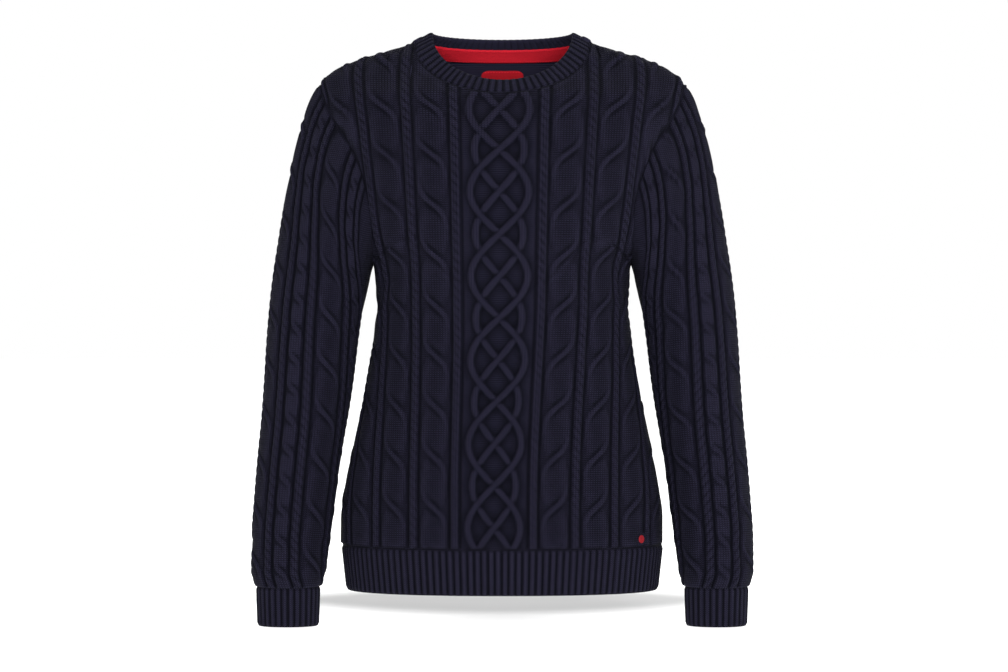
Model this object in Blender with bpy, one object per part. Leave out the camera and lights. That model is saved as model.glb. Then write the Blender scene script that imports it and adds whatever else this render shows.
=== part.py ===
"""A navy cable knit sweater, hollow and filled out as if worn.

The front faces -Y and +Z is up. The origin lies on the shoulders, in the middle of the neck.
The sizes and tables below are in millimetres, and MM turns them into metres when a mesh is made.
Each panel is a wall with a plain inside, whose outer points are raised by the cables knitted into it.
"""

import bmesh
import bpy
import numpy as np

MM = 0.001

# Walls and seams
WALL = 2.4
SEAM_GAP = 0.3
SEAM_FADE = 6.0
UNDERARM_PLAIN = (5.0, 26.0)

# Heights of the body's seams and edges
HEM_EDGE_Z = -602.0
HEM_SEAM_Z = -552.0
UNDERARM_Z = -232.0
SHOULDER_Z = -28.0
NECK_SIDE_Z = 20.5
NECK_FRONT_Z = -43.0
NECK_BACK_Z = 13.0
NECK_HALF = 99.5
SHOULDER_HALF = 206.8

# Neckband: its upper edge, and how the neckline rises towards the sides
BAND_TOP_HALF = 79.5
BAND_TOP_SIDE_Z = 31.0
BAND_TOP_FRONT = (-77.0, -28.5)
BAND_TOP_BACK = (64.0, 29.0)
NECK_RISE_POWER = 1.05
NECK_SPREAD = 1.5

# Cuffs
CUFF_EDGE_Z = -641.0
CUFF_HALF_WIDTH = 33.5
CUFF_HALF_DEPTH = 29.0

# Knitting: cables of the body, measured across the cloth before it is stretched
LATTICE_BIG = 29.6
LATTICE_SMALL = 24.6
LATTICE_PITCH = 92.85
LATTICE_START = -109.0
LATTICE_STRAND = 4.0
LATTICE_RISE = 3.0
LATTICE_DIP = 0.62
LATTICE_HALF = 36.0
COLUMN_FIRST = 44.5
COLUMN_STEP = 48.5
COLUMNS = 4
CABLE_HALF = 17.0
CABLE_PITCH = 56.0
CABLE_START = -57.0
CABLE_RISE = 1.7
RIDGE_RISE = 1.4
RIDGE_HALF = 2.7
ROPE_HALF = 4.7
ROPE_RISE = 2.4

# Knitting of the sleeves: columns counted from the outer arm's middle line
SLEEVE_CABLE_PITCH = 55.0
SLEEVE_CABLE_START = 29.0
CHAIN_HALF = 9.0
CHAIN_PITCH = 34.0
CHAIN_START = 18.0
SLEEVE_ROPES = (23.5, 55.0, 102.0, 133.0)
SLEEVE_CHAINS = (39.5, 118.0)
SLEEVE_WIDE = 78.5

# Ribs: (pitch, height)
HEM_RIB = (7.4, 1.7)
NECK_RIB = (6.1, 1.5)
CUFF_RIB = (6.8, 1.5)

# Meshes: cells of the coarse grids that set the seams, how far in from the seams a plain row
# follows them, cells of the fine grids that are knitted, and triangles left after thinning
ACROSS = 28
BELOW_ARMHOLE = 9
ALONG_ARMHOLE = 15
ARMHOLE_START = 0.56
KEPT_INSIDE = 0.86
SLEEVE_RINGS = 22
GUARD_ACROSS, GUARD_UP, GUARD_ALONG = 0.014, 0.002, 0.006
FINE_ACROSS = 170
FINE_UP = 190
FINE_ROUND = 112
FINE_ALONG = 200
TRIANGLES = {"front_panel": 5900, "back_panel": 3400, "sleeve_left": 2650, "sleeve_right": 2650}

NAVY = (0.0135, 0.0145, 0.0325)
RED = (0.62, 0.012, 0.022)
LABEL_RED = (0.50, 0.010, 0.020)


def table(columns, *rows):
    """Columns of numbers, read by their names."""
    return dict(zip(columns.split(), np.array(rows, float).T))


# Rings of the torso: height, half width, the panels' edge (inside the half width along the
# armhole), front and back depth, roundness (2 is an ellipse), stretch of the knitting, and
# the degrees round the ring over which the mesh spreads its columns.
TORSO = table(
    "z half edge front back power stretch swing",
    (-602, 176.0, 176.0, 112, 110, 2.30, 0.97, 90),
    (-575, 180.0, 180.0, 115, 113, 2.30, 0.97, 90),
    (-552, 181.5, 181.5, 117, 114, 2.30, 0.97, 90),
    (-520, 181.5, 181.5, 116, 112, 2.30, 0.97, 90),
    (-480, 175.5, 175.5, 113, 109, 2.30, 0.975, 90),
    (-440, 167.0, 167.0, 109, 103, 2.28, 0.98, 90),
    (-400, 158.5, 158.5, 105, 98, 2.26, 0.99, 90),
    (-360, 151.0, 151.0, 102, 94, 2.24, 1.005, 90),
    (-320, 144.5, 144.5, 102, 92, 2.22, 1.02, 88),
    (-285, 141.5, 141.5, 105, 93, 2.20, 1.04, 83),
    (-262, 141.5, 141.5, 109, 95, 2.18, 1.045, 78),
    (-245, 143.5, 143.5, 112, 97, 2.17, 1.05, 74),
    (-232, 146.5, 146.5, 114, 98, 2.16, 1.055, 70.5),
    (-225, 151.0, 146.0, 115.5, 99, 2.15, 1.055, 68.5),
    (-215, 157.5, 145.5, 117.5, 100, 2.15, 1.06, 65.5),
    (-200, 166.0, 145.5, 120, 101, 2.14, 1.065, 60.3),
    (-177, 174.0, 146.5, 121, 103, 2.12, 1.075, 56.4),
    (-142, 184.0, 154.0, 119, 106, 2.10, 1.09, 55.8),
    (-114, 193.0, 164.0, 113.5, 107, 2.08, 1.105, 57),
    (-100, 196.5, 171.0, 110, 107.5, 2.06, 1.115, 60.2),
    (-88, 199.5, 179.5, 106.5, 107.5, 2.05, 1.12, 64),
    (-67, 204.0, 193.0, 99, 105, 2.03, 1.135, 71),
    (-45, 206.4, 202.6, 89.5, 101, 2.01, 1.15, 79),
    (-28, 206.8, 206.8, 68, 96, 2.00, 1.15, 86),
    (-22, 203.5, 203.5, 60, 94, 2.00, 1.15, 90),
    (-16, 196.0, 196.0, 53, 91.5, 2.00, 1.15, 90),
    (-10, 186.5, 186.5, 47.5, 89, 2.00, 1.15, 90),
    (-4, 174.0, 174.0, 43.5, 87, 2.00, 1.15, 90),
    (2, 158.5, 158.5, 39.5, 85, 2.00, 1.15, 90),
    (8, 136.0, 136.0, 34, 82, 2.00, 1.15, 90),
    (13, 119.0, 119.0, 27.5, 78, 2.00, 1.15, 90),
    (17, 107.0, 107.0, 20, 62, 2.00, 1.15, 90),
    (20.5, 99.5, 99.5, 13, 18, 2.00, 1.15, 90),
)

# Rings of the sleeve, from the armhole to the cuff: the outer and the inner point, half the
# depth, the middle's y, the knitting's stretch, and the angle of its middle line towards
# the front.
SLEEVE = table(
    "out_x out_z in_x in_z depth y stretch turn",
    (206.8, -28, 146.5, -232, 62.0, -2, 1.08, 4),
    (216.5, -46, 148.0, -236, 62.0, -3, 1.08, 6),
    (225.0, -69, 149.2, -240, 61.5, -3, 1.07, 9),
    (231.0, -92, 150.4, -245, 61.0, -4, 1.07, 12),
    (236.5, -115, 151.6, -250, 60.0, -4, 1.06, 16),
    (241.0, -138, 153.0, -256, 58.5, -5, 1.06, 20),
    (245.5, -161, 154.8, -264, 57.0, -5, 1.05, 23),
    (248.8, -184, 156.8, -273, 56.0, -6, 1.05, 25),
    (252.0, -207, 159.5, -284, 55.0, -7, 1.05, 26),
    (257.0, -241, 163.5, -303, 54.0, -9, 1.04, 27),
    (261.0, -275, 167.0, -325, 53.0, -11, 1.03, 27),
    (264.6, -320, 170.8, -356, 51.5, -14, 1.02, 27),
    (267.2, -365, 175.5, -390, 50.0, -17, 1.01, 27),
    (270.2, -410, 181.5, -428, 48.0, -21, 1.00, 27),
    (274.0, -450, 186.8, -462, 46.5, -24, 0.99, 27),
    (278.0, -500, 192.2, -506, 45.0, -28, 0.98, 27),
    (280.8, -545, 197.6, -547, 43.0, -31, 0.97, 27),
    (281.0, -578, 201.8, -578, 41.0, -33, 0.96, 27),
    (276.6, -597, 206.6, -597, 36.0, -35, 0.95, 27),
)
SLEEVE_BLEND = 0.38

# Strips inside the back: half width and height as shares of the panel's grid
TAPE = {"half": 0.30, "top": 1.40, "bottom": 0.985, "thick": 0.8, "clear": 0.4}
LABEL = {"half": 0.0555, "top": 0.969, "bottom": 0.9265, "thick": 0.8, "clear": 0.4}
# The small round patch on the front, on a plain bed
PATCH_X, PATCH_Z, PATCH_RADIUS, PATCH_THICK = 154.0, -541.5, 4.5, 0.8
PATCH_BED = 1.5
PATCH_CLEAR = 0.5
PATCH_SIDES = 16


def unit(vectors):
    return vectors / np.maximum(np.linalg.norm(vectors, axis=-1, keepdims=True), 1e-12)


def smoothstep(low, high, value):
    t = np.clip((value - low) / (high - low), 0, 1)
    return t * t * (3 - 2 * t)


def smooth_curve(knots, values, at):
    """A smooth curve through the knots that doesn't overshoot them, read at the places given."""
    steps = np.diff(knots)
    rises = np.diff(values) / steps
    together = rises[1:] * rises[:-1] > 0
    both = np.where(together, rises[1:] + rises[:-1], 1)
    slopes = np.zeros(len(knots))
    slopes[1:-1] = np.where(together, 2 * rises[1:] * rises[:-1] / both, 0)
    slopes[0], slopes[-1] = rises[0], rises[-1]
    i = np.clip(np.searchsorted(knots, at) - 1, 0, len(steps) - 1)
    h, t = steps[i], np.clip((at - knots[i]) / steps[i], 0, 1)
    return (
        values[i] * (1 + 2 * t) * (1 - t) ** 2
        + values[i + 1] * t * t * (3 - 2 * t)
        + h * slopes[i] * t * (1 - t) ** 2
        - h * slopes[i + 1] * t * t * (1 - t)
    )


def torso(column, z):
    return smooth_curve(TORSO["z"], TORSO[column], z)


# ---------------------------------------------------------------- the torso's surface


def neck_turn(u):
    """The angle round the neck: 0 in the middle of a panel, pi/2 at its side, where |u| is 0.5."""
    share = np.clip(2 * np.abs(u), 0, 1)
    return np.sign(u) * np.pi / 2 * (1 - (1 - share) ** NECK_SPREAD)


def neckline(u, centre_z):
    """The seam of the neckband, as x and z."""
    turn = neck_turn(u)
    x = NECK_HALF * np.sin(turn)
    z = centre_z + (NECK_SIDE_Z - centre_z) * (1 - np.cos(turn)) ** NECK_RISE_POWER
    return x, z


def shoulder_line(u):
    """The shoulder seam: x and z where |u| goes from 0.5 at the neck to 1 at the sleeve."""
    heights = np.linspace(NECK_SIDE_Z, SHOULDER_Z, 120)
    halves = torso("half", heights)
    share = np.clip((np.abs(u) - 0.5) / 0.5, 0, 1)
    x = NECK_HALF + (SHOULDER_HALF - NECK_HALF) * share
    return np.sign(u) * x, np.interp(x, halves, heights)


def top_edge(u, side):
    """The upper edge of the front (side -1) or back (side 1): the neckline, then the shoulder."""
    neck_x, neck_z = neckline(u, NECK_FRONT_Z if side < 0 else NECK_BACK_Z)
    seam_x, seam_z = shoulder_line(u)
    on_neck = np.abs(u) <= 0.5
    return np.where(on_neck, neck_x, seam_x), np.where(on_neck, neck_z, seam_z)


def panel_place(side, u, v):
    """x and z of a panel's point. u goes from -1 to 1 across it, v from 0 at the hem to 1."""
    u, v = np.broadcast_arrays(np.asarray(u, float), np.asarray(v, float))
    top_x, top_z = top_edge(u, side)
    up_arm = np.clip((v - ARMHOLE_START) / (1 - ARMHOLE_START), 0, 1)
    below = (UNDERARM_Z - HEM_SEAM_Z) / (SHOULDER_Z - HEM_SEAM_Z)
    start = np.clip(v / ARMHOLE_START, 0, 1) * below
    at_edge = start + (1 - below) * (1 - np.cos(np.pi * up_arm)) / 2
    at_shoulder = start + (1 - below) * np.sin(np.pi * up_arm / 2)
    wide = smoothstep(0.42, 0.5, np.abs(u))
    rise = v + (at_shoulder - v) * wide
    rise = rise + (at_edge - rise) * np.abs(u) ** 8
    z = HEM_SEAM_Z + (top_z - HEM_SEAM_Z) * rise
    half, edge = torso("half", z), torso("edge", np.minimum(z, SHOULDER_Z))
    power = torso("power", z)
    to_edge = np.arcsin(np.clip(np.minimum(edge, half) / half, 0, 1) ** (power / 2))
    swing = np.radians(torso("swing", z))
    swing = swing + (to_edge - swing) * np.abs(u) ** 8
    ring_x = np.sign(u) * half * np.abs(np.sin(u * swing)) ** (2 / power)
    share = smoothstep(0, 1, up_arm)
    x = ring_x + (top_x * edge / SHOULDER_HALF - ring_x) * share
    return x, z


def ring_y(x, z, side):
    half, power = torso("half", z), torso("power", z)
    depth = torso("front" if side < 0 else "back", z)
    return depth * np.clip(1 - np.abs(x / half) ** power, 0, 1) ** (1 / power)


def panel_point(side, u, v):
    x, z = panel_place(side, u, v)
    return np.stack([x, side * (ring_y(x, z, side) + SEAM_GAP / 2), z], axis=-1)


def panel_normal(side, u, v):
    step = 1e-3
    u, v = np.broadcast_arrays(np.asarray(u, float), np.asarray(v, float))
    across = panel_point(side, np.minimum(u + step, 1), v) - panel_point(
        side, np.maximum(u - step, -1), v
    )
    up = panel_point(side, u, np.minimum(v + step, 1)) - panel_point(
        side, u, np.maximum(v - step, 0)
    )
    return unit(-side * np.cross(across, up))


def girth_to(x, z, side):
    """The length of the ring at height z from the middle of the panel to x."""
    half, power = torso("half", z), torso("power", z)
    depth = torso("front" if side < 0 else "back", z)
    end = np.arcsin(np.clip(np.abs(x / half), 0, 1) ** (power / 2))
    turn = end[..., None] * np.linspace(0, 1, 41)
    curve = 2 / power[..., None]
    along_x = half[..., None] * np.sin(turn) ** curve
    along_y = depth[..., None] * np.cos(turn) ** curve
    return np.sign(x) * np.hypot(np.diff(along_x), np.diff(along_y)).sum(axis=-1)


# ---------------------------------------------------------------- the sleeve's surface


def sleeve_rows():
    """How far along the outer arm each ring of the table lies, from 0 to 1."""
    way = np.hypot(np.diff(SLEEVE["out_x"]), np.diff(SLEEVE["out_z"]))
    along = np.concatenate([[0], np.cumsum(way)])
    return along / along[-1]


SLEEVE_V = sleeve_rows()


def sleeve(column, v):
    return smooth_curve(SLEEVE_V, SLEEVE[column], v)


def sleeve_ring(v, turn):
    """An oval in the plane through the outer and the inner point. turn is 0 outside, pi/2 in front."""
    outer = np.stack([sleeve("out_x", v), sleeve("y", v), sleeve("out_z", v)], axis=-1)
    inner = np.stack([sleeve("in_x", v), sleeve("y", v), sleeve("in_z", v)], axis=-1)
    middle, reach = (outer + inner) / 2, (outer - inner) / 2
    point = middle + reach * np.cos(turn)[..., None]
    point[..., 1] -= sleeve("depth", v) * np.sin(turn)
    return point


def armhole(turn):
    """The panels' edge at the armhole, where turn is pi at the underarm and 0 at the shoulder."""
    turn = np.mod(turn, 2 * np.pi)
    share = 1 - np.where(turn > np.pi, 2 * np.pi - turn, turn) / np.pi
    v = ARMHOLE_START + (1 - ARMHOLE_START) * share
    front, back = panel_point(-1, 1.0, v), panel_point(1, 1.0, v)
    return np.where((turn <= np.pi)[..., None], front, back)


def sleeve_point(v, turn, seam=None):
    """A point of the +X sleeve. seam moves its first ring off the panels' edge."""
    v, turn = np.broadcast_arrays(np.asarray(v, float), np.asarray(turn, float))
    pull = armhole(turn) - sleeve_ring(np.zeros_like(v), turn)
    if seam is not None:
        pull = pull + seam
    hold = 1 - smoothstep(0, SLEEVE_BLEND, v)
    return sleeve_ring(v, turn) + hold[..., None] * pull


def sleeve_normal(v, turn):
    step = 1e-3
    along = sleeve_point(np.minimum(v + step, 1), turn) - sleeve_point(np.maximum(v - step, 0), turn)
    around = sleeve_point(v, turn + step) - sleeve_point(v, turn - step)
    return unit(np.cross(around, along))


# ---------------------------------------------------------------- where pieces meet


def mitre(tangent, first, first_in, second, second_in):
    """The common edge direction of two walls, and the way from the first wall to the second.

    first and second are the walls' outward normals, and *_in point from the seam into each wall.
    """
    out = first + second + first_in + second_in
    out = unit(out - tangent * (out * tangent).sum(axis=-1, keepdims=True))
    over = unit(np.cross(tangent, out))
    way = (over * (second_in - first_in + first - second)).sum(axis=-1, keepdims=True)
    return out, over * np.where(way < 0, -1, 1)


def into_panel(tangent, normal, inside):
    flat = unit(np.cross(normal, tangent))
    return flat * np.where((flat * inside).sum(axis=-1, keepdims=True) < 0, -1, 1)


def armhole_mitre(turn):
    """The armhole seam on the +X side, at each turn."""
    turn = np.mod(np.asarray(turn, float), 2 * np.pi)
    front = turn <= np.pi
    share = 1 - np.where(front, turn, 2 * np.pi - turn) / np.pi
    v = ARMHOLE_START + (1 - ARMHOLE_START) * share
    step = 2e-3
    tangent = unit(armhole(turn + step) - armhole(turn - step))
    normal, inside = [
        np.where(front[..., None], at_front, at_back)
        for at_front, at_back in (
            (panel_normal(-1, 1.0, v), panel_normal(1, 1.0, v)),
            (panel_point(-1, 0.98, v) - armhole(turn), panel_point(1, 0.98, v) - armhole(turn)),
        )
    ]
    panel_in = into_panel(tangent, normal, inside)
    start = sleeve_point(0.0, turn)
    sleeve_in = sleeve_point(0.02, turn) - start
    sleeve_in = unit(sleeve_in - tangent * (sleeve_in * tangent).sum(axis=-1, keepdims=True))
    outward = unit(np.cross(tangent, sleeve_in))
    middle = sleeve_ring(np.zeros_like(turn), turn + np.pi) / 2 + start / 2
    facing = (outward * (start - middle)).sum(axis=-1, keepdims=True)
    outward = outward * np.where(facing < 0, -1, 1)
    out, over = mitre(tangent, normal, panel_in, outward, sleeve_in)
    on_seam = (share < 1e-6) | (share > 1 - 1e-6)
    out[on_seam, 1] = 0
    over[on_seam, 1] = 0
    return unit(out), unit(over)


def band_top(u, side):
    """The upper edge of the neckband, above the neckline's point at u."""
    turn = neck_turn(u)
    y, z = BAND_TOP_FRONT if side < 0 else BAND_TOP_BACK
    rise = z + (BAND_TOP_SIDE_Z - z) * (1 - np.cos(turn))
    return np.stack([BAND_TOP_HALF * np.sin(turn), y * np.cos(turn), rise], axis=-1)


def neck_mitre(side, u):
    """The neckband's seam on the front or back, at each u from -0.5 to 0.5."""
    u = np.asarray(u, float)
    step = 1e-3
    low, high = np.maximum(u - step, -0.5), np.minimum(u + step, 0.5)
    tangent = unit(panel_point(side, high, 1.0) - panel_point(side, low, 1.0))
    normal = panel_normal(side, np.clip(u, -0.497, 0.497), 0.998)
    start = panel_point(side, u, 1.0)
    panel_in = into_panel(tangent, normal, panel_point(side, u, 0.98) - start)
    band_in = band_top(u, side) - start
    band_in = unit(band_in - tangent * (band_in * tangent).sum(axis=-1, keepdims=True))
    outward = unit(np.cross(tangent, band_in))
    outward = outward * np.where((outward * normal).sum(axis=-1, keepdims=True) < 0, -1, 1)
    out, over = mitre(tangent, normal, panel_in, outward, band_in)
    out[..., 1] *= 1 - (2 * np.abs(u)) ** 4
    over[..., 1] *= 1 - (2 * np.abs(u)) ** 4
    return unit(out), unit(over)


# ---------------------------------------------------------------- the knitting


def cord(distance, half):
    """The height of a round cord, from 0 at its edge to 1 on top."""
    return np.sqrt(np.clip(1 - (distance / half) ** 2, 0, 1))


def rope(p):
    """A narrow column that stands up like a cord."""
    return ROPE_RISE * cord(p, ROPE_HALF)


def crossing_cable(p, q, lean, half, pitch, start):
    """Flat knitting whose halves cross at every pitch, with a raised ridge at each crossing."""
    from_cross = np.mod(q - start + pitch / 2, pitch) - pitch / 2
    near = np.exp(-((from_cross / (0.5 * half)) ** 2))
    width = half * (1 - 0.12 * near)
    pillow = np.clip(1 - (np.abs(p) / width) ** 4, 0, 1) ** 0.6
    steep = 0.40 * half
    path = lean * 0.93 * half * np.tanh(from_cross / steep)
    slope = 0.93 * half / steep / np.cosh(from_cross / steep) ** 2
    across = (p - path) / np.hypot(1, slope)
    strength = 0.35 + 0.65 * np.exp(-((from_cross / (0.75 * half)) ** 2))
    ridge = cord(across, RIDGE_HALF) * strength
    beside = np.exp(-(((np.abs(across) - 1.45 * RIDGE_HALF) / 1.3) ** 2)) * near
    inside = np.abs(p) < half
    return np.where(inside, CABLE_RISE * pillow * (1 - 0.6 * beside) + RIDGE_RISE * ridge, 0)


def lattice(p, q):
    """Four strands that swing across the middle and weave over and under each other."""
    turn = np.pi * (q - LATTICE_START) / LATTICE_PITCH
    rate = np.pi / LATTICE_PITCH
    strands = [
        (sign * LATTICE_BIG * np.sin(turn), sign * LATTICE_BIG * rate * np.cos(turn), True)
        for sign in (1, -1)
    ] + [
        (sign * LATTICE_SMALL * np.cos(turn), -sign * LATTICE_SMALL * rate * np.sin(turn), False)
        for sign in (1, -1)
    ]
    height = np.zeros_like(p)
    for i, (place, slope, big) in enumerate(strands):
        held = np.ones_like(p)
        for j, (other, _, other_big) in enumerate(strands):
            if i == j or (big and not other_big):
                continue
            under = 1.0 if other_big and not big else slope < 0
            held = held * (1 - LATTICE_DIP * under * np.exp(-(((place - other) / 6.0) ** 2)))
        distance = (p - place) / np.hypot(1, slope)
        height = np.maximum(height, cord(distance, LATTICE_STRAND) * held)
    return LATTICE_RISE * height


def body_knit(p, q):
    """The height of the body's knitting at p across and q up."""
    height = np.where(np.abs(p) < LATTICE_HALF, lattice(p, q), 0)
    side, out = np.sign(p), np.abs(p)
    for k in range(COLUMNS):
        middle = COLUMN_FIRST + COLUMN_STEP * k
        height = np.maximum(height, rope(out - middle))
        centre = middle + COLUMN_STEP / 2
        one = crossing_cable(
            (out - centre) * side, q, side, CABLE_HALF, CABLE_PITCH, CABLE_START
        )
        height = np.maximum(height, one)
    return height


def sleeve_knit(p, q, lean):
    """The height of a sleeve's knitting at p round the arm and q up from the cuff."""
    out = np.abs(p)
    height = np.zeros_like(p)
    for middle in SLEEVE_ROPES:
        height = np.maximum(height, rope(out - middle))
    cables = [(0.0, CABLE_HALF), (SLEEVE_WIDE, CABLE_HALF), (-SLEEVE_WIDE, CABLE_HALF)]
    cables += [(sign * c, CHAIN_HALF) for c in SLEEVE_CHAINS for sign in (1, -1)]
    for centre, half in cables:
        wide = half == CABLE_HALF
        pitch, start = (
            (SLEEVE_CABLE_PITCH, SLEEVE_CABLE_START) if wide else (CHAIN_PITCH, CHAIN_START)
        )
        height = np.maximum(height, crossing_cable(p - centre, q, lean, half, pitch, start))
    return height


def front_drift(z):
    """How far the front's knitting lies off the middle: it drifts towards -X low down."""
    return -3.3 - 6.0 * smoothstep(-260, -500, z)


def panel_relief(side, u, v):
    x, z = panel_place(side, u, v)
    drift = front_drift(z) if side < 0 else 0
    across = (girth_to(x, z, side) - drift) / torso("stretch", z)
    height = body_knit(across, z)
    if side < 0:
        to_patch = np.hypot(x - PATCH_X, z - PATCH_Z)
        bed = 1 - smoothstep(PATCH_RADIUS + 1.5, PATCH_RADIUS + 5, to_patch)
        height = height + (PATCH_BED - height) * bed
    points = panel_point(side, u, v)
    edges = (panel_point(side, np.sign(u), v), panel_point(side, u, 0.0), panel_point(side, u, 1.0))
    return height * seam_fade(points, edges)


def seam_fade(points, edges):
    """How far the knitting has risen: 0 at the edges and in the fold below the arm."""
    nearest = np.min([np.linalg.norm(points - edge, axis=-1) for edge in edges], axis=0)
    underarm = (torso("half", np.array(UNDERARM_Z)), 0, UNDERARM_Z)
    to_underarm = np.linalg.norm(np.abs(points) * (1, 1, -1) - underarm, axis=-1)
    return smoothstep(0, SEAM_FADE, nearest) * smoothstep(*UNDERARM_PLAIN, to_underarm)


def sleeve_relief(v, turn, points, lean):
    """Relief of a sleeve, for a grid of points with v down the rows and turn along them."""
    lengths = np.linalg.norm(np.diff(points, axis=0), axis=-1)
    up = np.concatenate([np.cumsum(lengths[::-1], axis=0)[::-1], np.zeros((1, points.shape[1]))])
    ends = np.linalg.norm(np.diff(points, axis=1, append=points[:, :1]), axis=-1)
    round_arm = np.concatenate([np.zeros((len(points), 1)), np.cumsum(ends, axis=1)], axis=1)
    girth = round_arm[:, -1:]
    middle = np.array(
        [
            np.interp(np.radians(t), np.append(turn[0], 2 * np.pi), row)
            for t, row in zip(sleeve("turn", v[:, 0]), round_arm)
        ]
    )[:, None]
    off = np.mod(round_arm[:, :-1] - middle + girth / 2, girth) - girth / 2
    height = sleeve_knit(off / sleeve("stretch", v[:, :1]), up, lean)
    edges = (sleeve_point(0.0, turn), sleeve_point(1.0, turn))
    return height * seam_fade(points, edges)


# ---------------------------------------------------------------- making meshes


class Shell:
    """The points and faces of one closed wall."""

    def __init__(self):
        self.points = []
        self.faces = []
        self.rim = []

    def add(self, points, rim=False):
        """Adds an array of points, and gives their numbers in an array of the same shape."""
        points = np.asarray(points, float)
        first = len(self.points)
        self.points.extend(points.reshape(-1, 3))
        numbers = np.arange(first, len(self.points))
        if rim:
            self.rim.extend(numbers.tolist())
        return numbers.reshape(points.shape[:-1])

    def grid(self, numbers, closed=False):
        """Quads over a grid of point numbers, or triangles where a quad names a point twice.

        closed joins the grid's last column to its first.
        """
        right = np.roll(numbers, -1, axis=1) if closed else numbers[:, 1:]
        left = numbers if closed else numbers[:, :-1]
        corners = (left[:-1], right[:-1], right[1:], left[1:])
        for face in np.stack(corners, axis=-1).reshape(-1, 4).tolist():
            face = list(dict.fromkeys(face))
            if len(face) > 2:
                self.faces.append(face)

    def zip(self, first, at_first, second, at_second):
        """Triangles between two rows of points, taken in the order of the places given."""
        i = j = 0
        while i < len(first) - 1 or j < len(second) - 1:
            step_first = j == len(second) - 1 or (
                i < len(first) - 1 and at_first[i + 1] <= at_second[j + 1]
            )
            if step_first:
                self.faces.append((int(first[i]), int(second[j]), int(first[i + 1])))
                i += 1
            else:
                self.faces.append((int(first[i]), int(second[j]), int(second[j + 1])))
                j += 1

    def build(self, name, material, triangles=None):
        """Makes the object. With triangles, a Decimate modifier thins all but the rims."""
        mesh = bpy.data.meshes.new(name)
        mesh.from_pydata((np.array(self.points) * MM).tolist(), [], self.faces)
        mesh.update()
        turn_outwards(mesh)
        mesh.materials.append(material)
        mesh.shade_smooth()
        obj = bpy.data.objects.new(name, mesh)
        bpy.context.scene.collection.objects.link(obj)
        if triangles:
            rim = obj.vertex_groups.new(name="rim")
            rim.add(self.rim, 1.0, "REPLACE")
            count = sum(len(face) - 2 for face in self.faces)
            thin = obj.modifiers.new("Thin", "DECIMATE")
            thin.ratio = triangles / count
            thin.vertex_group = "rim"
            thin.invert_vertex_group = True
            thin.vertex_group_factor = 1000
            thin.use_collapse_triangulate = True
        return obj


def turn_outwards(mesh):
    """Turns every face the same way round, facing out of the wall."""
    shape = bmesh.new()
    shape.from_mesh(mesh)
    bmesh.ops.recalc_face_normals(shape, faces=shape.faces)
    if shape.calc_volume(signed=True) < 0:
        bmesh.ops.reverse_faces(shape, faces=shape.faces)
    shape.to_mesh(mesh)
    shape.free()


def knit_material(name, colour, roughness):
    material = bpy.data.materials.new(name)
    material.use_nodes = True
    shader = material.node_tree.nodes["Principled BSDF"]
    shader.inputs["Base Color"].default_value = (*colour, 1)
    shader.inputs["Roughness"].default_value = roughness
    shader.inputs["Metallic"].default_value = 0
    return material


def coarse_rows():
    below = np.linspace(0, ARMHOLE_START, BELOW_ARMHOLE + 1)
    return np.concatenate([below[:-1], np.linspace(ARMHOLE_START, 1, ALONG_ARMHOLE + 1)])


def panel_coarse(side):
    """A panel's coarse grid of seam points, and the directions of its wall."""
    across, rows = np.linspace(-1, 1, ACROSS + 1), coarse_rows()
    u, v = np.meshgrid(across, rows)
    points, out = panel_point(side, u, v), panel_normal(side, u, v)
    out[0, :, 2] = 0
    out[:, [0, -1], 1] = 0
    shoulder = np.abs(across) >= 0.5
    out[-1, shoulder, 1] = 0
    share = np.linspace(0, 1, ALONG_ARMHOLE + 1)
    turn = np.pi * (1 - share) if side < 0 else np.pi * (1 + share)
    edge, _ = armhole_mitre(turn)
    out[BELOW_ARMHOLE:, -1] = edge
    out[BELOW_ARMHOLE:, 0] = edge * (-1, 1, 1)
    neck = np.abs(across) <= 0.5 + 1e-9
    out[-1, neck] = neck_mitre(side, across[neck])[0]
    return points, unit(out)


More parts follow.
